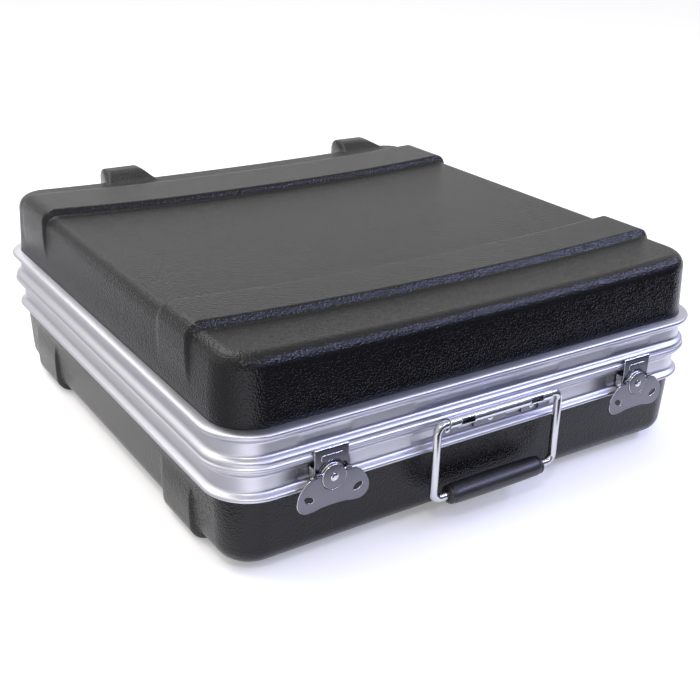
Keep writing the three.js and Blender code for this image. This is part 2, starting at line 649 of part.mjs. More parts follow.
// Inside: foam pads, plywood side boards and steel rack rails with square nut holes
const PAD_FLOOR = -BASE_DEPTH + SHELL_WALL + PLATE_GAP;
const PAD_TOP = -83;
const BOARD = { inner: 246, outer: 255, halfLength: 250, top: -12 };
const RAIL = { thickness: 1.8, inner: 225, top: -11.5, bottom: -42, nutHole: 9.5, screwZ: -32 };
const RAIL_SCREWS = [-180, 180];

function roundedPad(halfX, halfY, radius, z0, z1) {
  const shape = new THREE.Shape();
  shape.absarc(halfX - radius, -halfY + radius, radius, -Math.PI / 2, 0, false);
  shape.absarc(halfX - radius, halfY - radius, radius, 0, Math.PI / 2, false);
  shape.absarc(-halfX + radius, halfY - radius, radius, Math.PI / 2, Math.PI, false);
  shape.absarc(-halfX + radius, -halfY + radius, radius, Math.PI, 1.5 * Math.PI, false);
  const slab = new THREE.ExtrudeGeometry(shape, { depth: z1 - z0, bevelEnabled: false, curveSegments: 5 });
  return slab.translate(0, 0, z0);
}

function rackRail(side) {
  const { thickness, inner, top, bottom, nutHole, screwZ } = RAIL;
  const outer = BOARD.inner - PLATE_GAP;
  const halfLength = (RACK_UNIT * RACK_UNITS) / 2;
  const flange = new THREE.Shape();
  flange.moveTo(inner, -halfLength);
  flange.lineTo(outer, -halfLength);
  flange.lineTo(outer, halfLength);
  flange.lineTo(inner, halfLength);
  flange.closePath();
  const centreX = 232.6;
  for (let unit = 0; unit < RACK_UNITS; unit++) {
    for (const step of [6.35, 22.225, 38.1]) {
      const y = -halfLength + unit * RACK_UNIT + step;
      const hole = new THREE.Path();
      hole.moveTo(centreX - nutHole / 2, y - nutHole / 2);
      hole.lineTo(centreX - nutHole / 2, y + nutHole / 2);
      hole.lineTo(centreX + nutHole / 2, y + nutHole / 2);
      hole.lineTo(centreX + nutHole / 2, y - nutHole / 2);
      hole.closePath();
      flange.holes.push(hole);
    }
  }
  const shelf = new THREE.ExtrudeGeometry(flange, { depth: thickness, bevelEnabled: false });
  shelf.translate(0, 0, top - thickness);
  const leg = box(outer - thickness, outer, -halfLength, halfLength, bottom, top - thickness / 2);
  const screws = RAIL_SCREWS.map((y) => rodX(2.6, outer - 6, outer + 2, y, screwZ, 12));
  const rail = cut(join(shelf, leg), ...screws);
  return side < 0 ? rail.rotateZ(Math.PI) : rail;
}

function sideBoard(side) {
  const { inner, outer, halfLength, top } = BOARD;
  const board = box(inner, outer, -halfLength, halfLength, PAD_TOP + PLATE_GAP, top);
  const pilots = RAIL_SCREWS.map((y) => rodX(2.2, inner - 1, inner + 7, y, RAIL.screwZ, 12));
  const drilled = cut(board, ...pilots);
  return side < 0 ? drilled.rotateZ(Math.PI) : drilled;
}

function railScrew() {
  const profile = [[0, -6.5], [1.9, -5.5], [1.9, 2.2], [4.2, 2.2], [3.6, 3.9], [0, 4.6]];
  return new THREE.LatheGeometry(profile.map(([r, y]) => new THREE.Vector2(r, y)), 10).rotateZ(Math.PI / 2);
}

function addInterior() {
  addPart('floor_pad', roundedPad(251, 257, 30, PAD_FLOOR, PAD_TOP), FOAM);
  const ceiling = LID_DEPTH - SHELL_WALL - PLATE_GAP;
  addPart('lid_pad', roundedPad(255, 258, 30, ceiling - 25, ceiling), FOAM);
  for (const [label, side] of [['left', -1], ['right', 1]]) {
    const foam = box(BOARD.outer + PLATE_GAP, 269, -238, 238, PAD_TOP + 1, BOARD.top - 2);
    addPart(`side_pad_${label}`, side < 0 ? foam.rotateZ(Math.PI) : foam, FOAM);
    addPart(`side_board_${label}`, sideBoard(side), PLYWOOD);
    addPart(`rack_rail_${label}`, rackRail(side), RAIL_PAINT);
    for (const [i, y] of RAIL_SCREWS.entries()) {
      const screw = addPart(`rail_screw_${label}_${i + 1}`, railScrew(), PLATED_STEEL);
      screw.position.set(side * (BOARD.inner - 0.6), y, RAIL.screwZ);
      screw.rotation.z = side < 0 ? Math.PI : 0;
    }
  }
}

addPart('lid_shell', shell(LID_SPEC), SHELL_PLASTIC);
addPart('base_shell', shell(BASE_SPEC), SHELL_PLASTIC);
addPart('lid_valance', lidValance(), VALANCE_METAL);
addPart('base_valance', baseValance(), VALANCE_METAL);
addSplices();
addHinge('left', -HINGE_X);
addHinge('right', HINGE_X);
addLatch('left', -LATCH_X);
addLatch('right', LATCH_X);
addHandle();
addInterior();

const rackCase = new THREE.Group();
rackCase.add(root);
export default rackCase;
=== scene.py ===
"""Looks for the equipment rack case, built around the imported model.

Lengths are in millimetres until they reach a mesh, and in metres for the floor, the cards and the lights.
Heights are measured from the parting plane between lid and base, and `reach` is the distance outside the
valance's recess plane, as in the part's own source.
"""

import math

import bmesh
import bpy
import numpy as np
from mathutils import Matrix, Vector


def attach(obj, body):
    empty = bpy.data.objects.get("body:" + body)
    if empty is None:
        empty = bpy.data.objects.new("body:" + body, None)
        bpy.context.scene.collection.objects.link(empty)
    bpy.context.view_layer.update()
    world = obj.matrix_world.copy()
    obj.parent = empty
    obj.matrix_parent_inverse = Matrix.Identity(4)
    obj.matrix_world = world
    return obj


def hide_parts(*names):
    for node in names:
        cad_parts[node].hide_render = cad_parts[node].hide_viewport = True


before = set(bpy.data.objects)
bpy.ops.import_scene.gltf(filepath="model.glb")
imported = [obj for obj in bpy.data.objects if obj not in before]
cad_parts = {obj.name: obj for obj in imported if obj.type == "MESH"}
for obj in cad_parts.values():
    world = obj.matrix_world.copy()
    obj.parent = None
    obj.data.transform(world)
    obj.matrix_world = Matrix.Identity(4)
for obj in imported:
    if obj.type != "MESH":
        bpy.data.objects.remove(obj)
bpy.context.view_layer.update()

MM = 0.001
PARTING = 113.2
HALF_X = 280.0
HALF_Y = 286.35
CORNER_R = 42.0
STRAIGHT_X = HALF_X - CORNER_R
STRAIGHT_Y = HALF_Y - CORNER_R
SHELL_WALL = 3.0
DRAFT = math.tan(math.radians(2.9))
RIB_RISE = 7.2
BUMPER_REACH = 23.6
LATCH_X = 185.0
HINGE_X = 170.0
SIDES = (("left", -1), ("right", 1))


# ---------------------------------------------------------------- meshes
def smooth(t):
    t = np.clip(t, 0.0, 1.0)
    return t * t * (3 - 2 * t)


def new_object(name, data):
    obj = bpy.data.objects.new(name, data)
    bpy.context.scene.collection.objects.link(obj)
    return obj


def shaded(obj, sharp_degrees):
    """Shades a piece smooth, apart from edges that turn by more than this."""
    obj.data.shade_smooth()
    obj.data.set_sharp_from_angle(angle=math.radians(sharp_degrees))
    return obj


def make(name, points, faces, material, sharp_degrees=35):
    """A closed mesh from points in millimetres, with its faces turned outwards."""
    metres = (np.asarray(points, float) + (0, 0, PARTING)) * MM
    mesh = bpy.data.meshes.new(name)
    mesh.from_pydata(metres.tolist(), [], [list(f) for f in faces])
    bm = bmesh.new()
    bm.from_mesh(mesh)
    bmesh.ops.recalc_face_normals(bm, faces=bm.faces)
    if bm.calc_volume(signed=True) < 0:
        bmesh.ops.reverse_faces(bm, faces=bm.faces)
    bm.to_mesh(mesh)
    bm.free()
    mesh.materials.append(material)
    return shaded(new_object(name, mesh), sharp_degrees)


def settle(obj, body, slot, *nodes):
    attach(obj, body)
    if nodes:
        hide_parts(*nodes)
    return obj


def grid_faces(rows, columns, wrap_rows=False, wrap_columns=False, start=0):
    """Quads between the rows of a grid of points."""
    faces = []
    for i in range(rows if wrap_rows else rows - 1):
        here, after = start + i * columns, start + (i + 1) % rows * columns
        for j in range(columns if wrap_columns else columns - 1):
            k = (j + 1) % columns
            faces.append((here + j, here + k, after + k, after + j))
    return faces


def spun(profile, sides, **wraps):
    """Rings about X from (distance, radius) pairs; with wrap_rows=True, the profile is a closed loop."""
    angles = np.linspace(0, 2 * math.pi, sides, endpoint=False)
    points = [(x, r * math.cos(a), r * math.sin(a)) for x, r in profile for a in angles]
    return np.array(points), grid_faces(len(profile), sides, wrap_columns=True, **wraps)


def lathe(profile, sides=32):
    """A solid of revolution about X, from a profile that starts and ends on the axis."""
    points, faces = spun(profile[1:-1], sides)
    first = len(points)
    last_ring = first - sides
    for j in range(sides):
        k = (j + 1) % sides
        faces += [(first, k, j), (first + 1, last_ring + j, last_ring + k)]
    return np.vstack([points, (profile[0][0], 0, 0), (profile[-1][0], 0, 0)]), faces


def capped(rings):
    """A solid through a row of rings of points, closed by a face at each end."""
    count, sides = len(rings), len(rings[0])
    faces = grid_faces(count, sides, wrap_columns=True)
    faces += [tuple(range(sides)), tuple(range((count - 1) * sides, count * sides))]
    return np.array(rings, float).reshape(-1, 3), faces


def along_x(section, stations):
    """A closed (y, z) section run along X."""
    return capped([[(x, y, z) for y, z in section] for x in stations])


def arc(cx, cy, radius, start, end, steps):
    """Points on an arc, angles in degrees."""
    angles = np.radians(np.linspace(start, end, steps + 1))
    return [(cx + radius * math.cos(a), cy + radius * math.sin(a)) for a in angles]


def curve_through(start, control, end, steps):
    """Points on a curve from start to end that is drawn towards the control point."""
    a, b, c = np.array([start, control, end])
    return [tuple((1 - t) ** 2 * a + 2 * t * (1 - t) * b + t * t * c) for t in np.linspace(0, 1, steps + 1)]


def reflected(line):
    """The same line on the other side of x = 0, run backwards."""
    return [(-x, z) for x, z in line[::-1]]


def rounded(line, times=2, closed=False):
    """Corner-cutting: each corner of a line of points becomes a short curve."""
    pts = [np.array(p, float) for p in line]
    for _ in range(times):
        pairs = list(zip(pts, pts[1:] + pts[:1] if closed else pts[1:]))
        cut = [q for a, b in pairs for q in (a * 0.75 + b * 0.25, a * 0.25 + b * 0.75)]
        pts = cut if closed else [pts[0]] + cut[1:-1] + [pts[-1]]
    return [tuple(p) for p in pts]


def evaluated_mesh(obj):
    return bpy.data.meshes.new_from_object(obj.evaluated_get(bpy.context.evaluated_depsgraph_get()))


def plate(outline, holes, near, far, edge):
    """A flat pressing seen from the front: outline in (x, z), with rounded edges, between two reaches.
    Gives points (x, -reach, z) and faces."""
    curve = bpy.data.curves.new("outline", "CURVE")
    curve.dimensions = "2D"
    curve.fill_mode = "BOTH"
    curve.extrude = (far - near) / 2 - edge
    curve.bevel_depth = edge
    curve.bevel_resolution = 2
    curve.offset = -edge
    for loop in [outline, *holes]:
        spline = curve.splines.new("POLY")
        spline.points.add(len(loop) - 1)
        for point, (x, z) in zip(spline.points, loop):
            point.co = (x, z, 0, 1)
        spline.use_cyclic_u = True
    holder = new_object("outline", curve)
    mesh = evaluated_mesh(holder)
    bm = bmesh.new()
    bm.from_mesh(mesh)
    bmesh.ops.remove_doubles(bm, verts=bm.verts, dist=1e-4)
    bm.verts.index_update()
    middle = -(near + far) / 2
    points = np.array([(v.co.x, middle + v.co.z, v.co.y) for v in bm.verts])
    faces = [tuple(v.index for v in f.verts) for f in bm.faces]
    bm.free()
    bpy.data.objects.remove(holder)
    bpy.data.curves.remove(curve)
    bpy.data.meshes.remove(mesh)
    return points, faces


def gather(parts):
    """Several (points, faces) pairs as one."""
    points, faces, start = [], [], 0
    for part_points, part_faces in parts:
        points.append(np.asarray(part_points, float))
        faces += [tuple(i + start for i in f) for f in part_faces]
        start += len(part_points)
    return np.vstack(points), faces


def moved(part, x=0.0, y=0.0, z=0.0):
    return np.asarray(part[0], float) + (x, y, z), part[1]


def mirrored(part, x=1, y=1, z=1):
    """A part with the axes given as -1 turned over."""
    return np.asarray(part[0], float) * (x, y, z), part[1]


def combined(obj, operation, *others):
    """A piece joined with others by "UNION", or cut by them by "DIFFERENCE". The others are used up."""
    for other in others:
        modifier = obj.modifiers.new("combined", "BOOLEAN")
        modifier.operation = operation
        modifier.solver = "EXACT"
        modifier.object = other
        mesh = evaluated_mesh(obj)
        obj.modifiers.clear()
        old = obj.data
        obj.data = mesh
        bpy.data.meshes.remove(old)
        bpy.data.objects.remove(other)
    return obj


def soften(obj, width, segments, degrees):
    """Rounds the edges of a finished piece and keeps its flats flat."""
    bevel = obj.modifiers.new("edges", "BEVEL")
    bevel.width = width * MM
    bevel.segments = segments
    bevel.limit_method = "ANGLE"
    bevel.angle_limit = math.radians(degrees)
    bevel.harden_normals = True
    return obj


def keep_flats(obj):
    weighted = obj.modifiers.new("flats", "WEIGHTED_NORMAL")
    weighted.keep_sharp = True
    return obj


# ---------------------------------------------------------------- materials
class Nodes:
    """A short way to lay out the nodes of a new material or world."""

    def __init__(self, name, kind="materials", coordinates="Object"):
        self.owner = getattr(bpy.data, kind).new(name)
        self.owner.use_nodes = True
        self.tree = self.owner.node_tree
        self.place = self.tree.nodes.new("ShaderNodeTexCoord").outputs[coordinates]

    def node(self, kind, **inputs):
        node = self.tree.nodes.new(kind)
        self.fill(node, **inputs)
        return node

    def fill(self, node, **inputs):
        for key, value in inputs.items():
            self.feed(node.inputs[key.replace("_", " ")], value)

    def feed(self, socket, value):
        if isinstance(value, bpy.types.NodeSocket):
            self.tree.links.new(value, socket)
        else:
            socket.default_value = value

    def set(self, **inputs):
        self.fill(self.tree.nodes["Principled BSDF"], **inputs)

    def noise(self, scale, detail, roughness=0.5, vector=None):
        place = self.place if vector is None else vector
        return self.node("ShaderNodeTexNoise", Vector=place, Scale=scale, Detail=detail,
                         Roughness=roughness).outputs["Fac"]

    def streaks(self, stretch, detail, roughness=0.5):
        """Noise with a scale of its own along each axis."""
        mapping = self.node("ShaderNodeMapping", Vector=self.place, Scale=stretch)
        return self.noise(1.0, detail, roughness, mapping.outputs["Vector"])

    def cells(self, scale, smoothness=0.6):
        node = self.node("ShaderNodeTexVoronoi", Vector=self.place, Scale=scale)
        node.feature = "SMOOTH_F1"
        self.fill(node, Smoothness=smoothness)
        return node.outputs["Distance"]

    def ramp(self, fac, stops):
        node = self.node("ShaderNodeValToRGB", Fac=fac)
        elements = node.color_ramp.elements
        while len(elements) < len(stops):
            elements.new(0.5)
        for element, (position, colour) in zip(elements, stops):
            element.position = position
            element.color = (*colour, 1.0)
        return node.outputs["Color"]

    def ranged(self, fac, **limits):
        return self.node("ShaderNodeMapRange", Value=fac, **limits).outputs["Result"]

    def between(self, fac, low, high):
        """fac from 0 to 1 becomes a number from low to high."""
        return self.ranged(fac, To_Min=low, To_Max=high)

    def sharpened(self, fac, low, high):
        """0 below low, 1 above high."""
        return self.ranged(fac, From_Min=low, From_Max=high)

    def maths(self, operation, a, b=0.0):
        node = self.tree.nodes.new("ShaderNodeMath")
        node.operation = operation
        self.feed(node.inputs[0], a)
        self.feed(node.inputs[1], b)
        return node.outputs[0]

    def times(self, a, b):
        return self.maths("MULTIPLY", a, b)

    def mixed(self, fac, a, b):
        """A colour between a and b, which are (red, green, blue) or the output of a node."""
        node = self.tree.nodes.new("ShaderNodeMix")
        node.data_type = "RGBA"
        for socket, value in ((0, fac), (6, a), (7, b)):
            self.feed(node.inputs[socket], (*value, 1) if isinstance(value, tuple) else value)
        return node.outputs[2]

    def bump(self, height, strength, distance, onto=None):
        node = self.node("ShaderNodeBump", Height=height, Strength=strength, Distance=distance)
        if onto is not None:
            self.feed(node.inputs["Normal"], onto)
        return node.outputs["Normal"]


def dimmed(colour, share):
    return tuple(c * share for c in colour)


def shell_plastic():
    n = Nodes("shell_plastic")
    warp = n.noise(300, 2.0)
    pebbles = n.cells(560, smoothness=0.35)
    fine = n.noise(1500, 2.0)
    broad = n.noise(40, 3.0)
    drift = n.noise(6, 2.0)
    grain = n.bump(n.maths("ADD", pebbles, n.times(warp, 0.4)), 0.6, 0.0007)
    grain = n.bump(fine, 0.25, 0.00012, grain)
    grain = n.bump(broad, 0.12, 0.0009, grain)
    colour = n.mixed(n.sharpened(drift, 0.3, 0.7), (0.0035, 0.0033, 0.0036), (0.0052, 0.0048, 0.0052))
    # Darker between the pebbles of the grain: painted shade.
    between_pebbles_shade = n.sharpened(pebbles, 0.3, 0.8)
    n.set(Base_Color=n.mixed(n.times(between_pebbles_shade, 0.4), colour, (0.0025, 0.0025, 0.003)),
          Roughness=n.between(n.times(broad, pebbles), 0.21, 0.28), Specular_IOR_Level=0.30, Normal=grain)
    return n.owner


def mill_aluminium():
    n = Nodes("valance_aluminium")
    # The bluish cast of this tint is a painted reflection of the cool light and surroundings in front; the
    # rest is the metal's own tone.
    tint = (0.64, 0.64, 0.69)
    drawn = n.streaks((1.2, 1.2, 900), 5.0, 0.6)
    wide = n.streaks((3, 3, 120), 3.0)
    cloud = n.noise(18, 3.0)
    marks = n.sharpened(n.streaks((35, 35, 500), 2.0), 0.66, 0.72)
    colour = n.mixed(n.times(wide, 0.7), tint, dimmed(tint, 0.84))
    colour = n.mixed(n.times(marks, 0.25), colour, dimmed(tint, 0.6))
    wear = n.maths("ADD", n.times(drawn, 0.6), n.times(cloud, 0.4))
    n.set(Base_Color=colour, Metallic=1.0, Anisotropic=0.35, Roughness=n.between(wear, 0.30, 0.50),
          Normal=n.bump(cloud, 0.05, 0.0012, n.bump(drawn, 0.12, 0.00012)))
    return n.owner


def plated(name, tint, rough_low, rough_high, wave=0.03):
    n = Nodes(name)
    smear = n.noise(60, 3.0)
    ripple = n.noise(110, 2.0)
    specks = n.sharpened(n.noise(900, 2.0), 0.70, 0.78)
    n.set(Base_Color=n.mixed(n.times(smear, 0.5), tint, dimmed(tint, 0.78)), Metallic=1.0,
          Roughness=n.maths("ADD", n.between(smear, rough_low, rough_high), n.times(specks, 0.12)),
          Normal=n.bump(ripple, wave, 0.0008))
    return n.owner


def grip_vinyl():
    n = Nodes("grip_vinyl")
    drift = n.noise(60, 3.0)
    n.set(Base_Color=n.mixed(drift, (0.010, 0.0095, 0.011), (0.016, 0.0155, 0.018)),
          Roughness=n.between(drift, 0.30, 0.42), Specular_IOR_Level=0.6,
          Normal=n.bump(n.noise(240, 3.0), 0.10, 0.0004, n.bump(n.cells(1300), 0.14, 0.0002)))
    return n.owner


def foam_fabric():
    n = Nodes("foam")
    tears = n.sharpened(n.noise(260, 4.0), 0.58, 0.70)
    colour = n.mixed(n.noise(12, 3.0), (0.030, 0.031, 0.034), (0.050, 0.051, 0.055))
    colour = n.mixed(n.times(tears, 0.5), colour, (0.016, 0.016, 0.018))
    n.set(Base_Color=colour, Roughness=0.95, Specular_IOR_Level=0.2, Sheen_Weight=0.25, Sheen_Roughness=0.6,
          Normal=n.bump(tears, 0.35, 0.0006, n.bump(n.cells(900), 0.6, 0.0005)))
    return n.owner


def plywood():
    n = Nodes("plywood")
    across = n.node("ShaderNodeSeparateXYZ", Vector=n.place).outputs["X"]
    ply = n.maths("FRACT", n.times(n.maths("ABSOLUTE", across), 389.0))
    core = n.sharpened(ply, 0.46, 0.54)
    rings = n.streaks((1.5, 4, 90), 5.0, 0.6)
    fibre = n.streaks((40, 3, 420), 3.0)
    knots = n.sharpened(n.streaks((9, 5, 16), 1.0), 0.70, 0.78)
    woods = [(0.25, (0.36, 0.22, 0.11)), (0.5, (0.53, 0.36, 0.20)), (0.75, (0.62, 0.45, 0.27))]
    colour = n.ramp(rings, woods)
    colour = n.mixed(n.times(fibre, 0.35), colour, (0.30, 0.18, 0.09))
    colour = n.mixed(n.times(knots, 0.6), colour, (0.14, 0.07, 0.03))
    colour = n.mixed(n.times(core, 0.55), colour, (0.22, 0.125, 0.06))
    n.set(Base_Color=colour, Roughness=n.between(fibre, 0.42, 0.6), Coat_Weight=0.15, Coat_Roughness=0.3,
          Normal=n.bump(fibre, 0.15, 0.0003))
    return n.owner


def rail_paint():
    n = Nodes("rail_paint")
    peel = n.noise(700, 2.0)
    scuff = n.sharpened(n.streaks((60, 18, 300), 3.0), 0.68, 0.74)
    n.set(Base_Color=n.mixed(n.times(scuff, 0.4), (0.014, 0.0145, 0.016), (0.10, 0.10, 0.105)),
          Roughness=n.between(peel, 0.36, 0.52), Normal=n.bump(peel, 0.25, 0.00025))
    return n.owner


SHELL = shell_plastic()
VALANCE = mill_aluminium()
BRIGHT = plated("plated_steel", (0.74, 0.75, 0.78), 0.18, 0.26)
NICKEL = plated("nickel_wire", (0.60, 0.605, 0.62), 0.12, 0.22)
# Plated steel darkened in its colour: a painted dark reflection of the shaded surroundings in front, used on
# the latch faces and the handle's tabs.
PAINTED_DARK_STEEL = plated("latch_steel", (0.17, 0.17, 0.195), 0.16, 0.26)
RIVET_METAL = plated("rivet_steel", (0.70, 0.71, 0.75), 0.14, 0.26)
HINGE_METAL = plated("hinge_steel", (0.56, 0.57, 0.60), 0.24, 0.38, wave=0.05)
SCREW_METAL = plated("screw_zinc", (0.60, 0.60, 0.58), 0.24, 0.36)
GRIP = grip_vinyl()
FOAM = foam_fabric()
PLY = plywood()
RAIL = rail_paint()


# ---------------------------------------------------------------- camera, floor and light
def add_camera():
    """A camera above the front left corner, aimed by yaw to the right, pitch down and roll, in degrees."""
    place, angles, lens = (-624.3, -981.4, 463.7), (33.556, 24.09, 1.57), 55.92
    yaw, pitch, roll = np.radians(angles).tolist()
    ahead = Vector((math.sin(yaw) * math.cos(pitch), math.cos(yaw) * math.cos(pitch), -math.sin(pitch)))
    level = Vector((math.cos(yaw), -math.sin(yaw), 0))
    above = level.cross(ahead)
    right = level * math.cos(roll) + above * math.sin(roll)
    up = above * math.cos(roll) - level * math.sin(roll)
    data = bpy.data.cameras.new("camera")
    data.sensor_width = 36.0
    data.lens = lens
    camera = new_object("camera", data)
    turn = Matrix((right, up, -ahead)).transposed().to_4x4()
    camera.matrix_world = Matrix.Translation((Vector(place) + Vector((0, 0, PARTING))) * MM) @ turn
    bpy.context.scene.camera = camera


def add_sheet(name, corners, material):
    """A flat sheet round the object, in metres."""
    mesh = bpy.data.meshes.new(name)
    mesh.from_pydata(corners, [], [(0, 1, 2, 3)])
    mesh.materials.append(material)
    sheet = new_object(name, mesh)
    return sheet


def add_floor():
    half = 14.0
    n = Nodes("floor_paper")
    n.set(Base_Color=n.mixed(n.noise(3, 2.0), (0.86, 0.86, 0.87), (0.89, 0.89, 0.90)), Roughness=0.9,
          Specular_IOR_Level=0.1, Emission_Color=(1, 1, 1, 1), Emission_Strength=0.25)
    add_sheet("floor", [(-half, -half, 0), (half, -half, 0), (half, half, 0), (-half, half, 0)], n.owner)


def add_card(name, height, corners, shade):
    """A card lying out of the picture: only reflections see it, as on a product table."""
    n = Nodes(f"{name}_paper")
    n.set(Base_Color=(*shade, 1), Roughness=0.9, Specular_IOR_Level=0.1)
    card = add_sheet(name, [(x, y, height) for x, y in corners], n.owner)
    card.visible_camera = False
    card.visible_shadow = False
    card.visible_diffuse = False


def add_cards():
    # The dark card stands in for the shaded floor and dark room in front, and the grey card dims the floor
    # seen at the left: sheets put in for shade, seen only in reflections.
    add_card("dark_card", 0.004, [(-2.2, -13), (10, -13), (6, -0.45), (-0.25, -0.45)], (0.02, 0.02, 0.035))
    add_card("grey_card", 0.003, [(-5, -1.6), (-0.34, -0.40), (-0.36, 1.4), (-5, 1.4)], (0.42, 0.42, 0.43))


def add_world():
    """A bright room behind and above, dimmer and cooler towards the front right."""
    n = Nodes("studio", "worlds", "Generated")
    bpy.context.scene.world = n.owner
    facing = n.tree.nodes.new("ShaderNodeVectorMath")
    facing.operation = "DOT_PRODUCT"
    n.feed(facing.inputs[0], n.place)
    n.feed(facing.inputs[1], (-0.40, 0.62, 0.67))
    share = n.ranged(facing.outputs["Value"], From_Min=-0.75, From_Max=0.45)
    share.node.interpolation_type = "SMOOTHSTEP"
    room = n.mixed(share, (0.13, 0.14, 0.20), (0.86, 0.85, 0.845))
    n.feed(n.tree.nodes["Background"].inputs["Color"], room)


def add_light(name, place, target, size, power, colour):
    data = bpy.data.lights.new(name, "AREA")
    data.shape = "RECTANGLE"
    data.size, data.size_y = size
    data.energy = power
    data.color = colour
    light = new_object(name, data)
    light.visible_camera = False
    direction = Vector(target) - Vector(place)
    light.matrix_world = Matrix.Translation(place) @ direction.to_track_quat("-Z", "Y").to_matrix().to_4x4()


def add_lights():
    """Soft light from above and behind, a long low strip for the front, and a lamp for the near corner."""
    add_light("overhead", (-0.7, 1.0, 2.2), (0, 0, 0.1), (2.4, 1.6), 42, (1.0, 0.975, 0.95))
    add_light("left_card", (-2.1, 0.6, 0.8), (0, 0, 0.1), (1.6, 0.8), 3, (1.0, 0.97, 0.95))
    add_light("front_strip", (1.1, -1.4, 1.5), (0, -0.28, 0.2), (3.0, 0.12), 36, (0.52, 0.57, 1.0))
    add_light("corner_lamp", (-0.72, -1.05, 1.3), (-0.24, -0.25, 0.2), (0.12, 0.12), 3.5, (1.0, 0.95, 0.88))


add_camera()
add_floor()
add_world()
add_cards()
add_lights()
bpy.context.scene.view_settings.view_transform = "Standard"


# ---------------------------------------------------------------- shells
LID = {
    "name": "lid", "body": "lid", "turn": 1, "depth": 101.9, "offset": -2.2, "lip": 37.0, "edge": 15.0,
    "ribs": [(-205.0, -151.0), (161.0, 227.0)], "bulge": 2.4, "sag": 7.0, "rib_sag": 1.0,
}
BASE = {
    "name": "base", "body": "case", "turn": -1, "depth": 106.0, "offset": -3.7, "lip": 33.0, "edge": 20.0,
    "ribs": [(-200.0, -142.0), (160.0, 220.0)], "bulge": 3.6, "sag": 3.0, "rib_sag": 0.0,
}
RIM = 12.4
INNER_RIM = 11.2
FLANK_FRONT = 8.0
FLANK_REAR = 11.0
SAG_HALF_X = 262.0
BUMPER_SPANS = [(-152.0, -112.0), (191.0, 229.0)]
BUMPER_FLANKS = (9.0, 17.0)
BUMPER_RUN = (16.0, 14.0)
CORNER_STEPS = 14


def stops(low, high, coarse, fine, zones):
    """Places from low to high, close together inside the zones."""
    out = [low]
    while out[-1] < high - 1e-6:
        x = out[-1]
        step = fine if any(a - 1e-6 <= x < b for a, b in zones) else coarse
        nearest = min([a for a, b in zones if a > x + 1e-6], default=high)
        out.append(min(x + step, nearest, high))
    return np.array(out)


def plan(xs, ys):
    """Stations round a rounded rectangle: the corner circle's centre, then the outward direction."""
    a, b = xs[-1], ys[-1]
    angles = np.radians(np.linspace(0, 90, CORNER_STEPS + 1)[1:-1])
    sides = ([(x, -b, 0, -1) for x in xs], [(a, y, 1, 0) for y in ys],
             [(x, b, 0, 1) for x in xs[::-1]], [(-a, y, -1, 0) for y in ys[::-1]])
    stations = []
    for quarter, (side, centre) in enumerate(zip(sides, ((a, -b), (a, b), (-a, b), (-a, -b)))):
        turns = angles + (quarter - 1) * math.pi / 2
        stations += side + [(*centre, math.cos(t), math.sin(t)) for t in turns]
    return np.array(stations)


def panel_rows(ys):
    """Rows of faces from the front to the rear of a panel inside such stations."""
    return 2 * (CORNER_STEPS - 1) + len(ys) + 1


def crested(t):
    """Like smooth, but it meets the top at a crisp edge."""
    return (smooth(t) + np.clip(t, 0, 1) ** 1.5) / 2


def rib_share(y, spec):
    shares = [smooth((y - low + FLANK_FRONT) / FLANK_FRONT) * crested((high + FLANK_REAR - y) / FLANK_REAR)
              for low, high in spec["ribs"]]
    return np.maximum(*shares)


def bumper_share(x, inset):
    before, after = BUMPER_FLANKS
    shares = [smooth((x - low - inset + before) / before) * smooth((high - inset + after - x) / after)
              for low, high in BUMPER_SPANS]
    return np.maximum(*shares)


def skin_levels(lip, depth, edge, rim):
    """(height, distance in from the wall) up a skin, from the rim to the top of the rounded edge."""
    start = depth - edge
    heights = [rim, lip, *np.linspace(lip + 2, lip + 26, 13), *np.linspace(lip + 30, start, 5)[:-1]]
    return [(z, 0.0) for z in heights] + [(depth - edge * (1 - math.sin(t)), edge * (1 - math.cos(t)))
                                          for t in np.radians(np.linspace(0, 90, 13))]


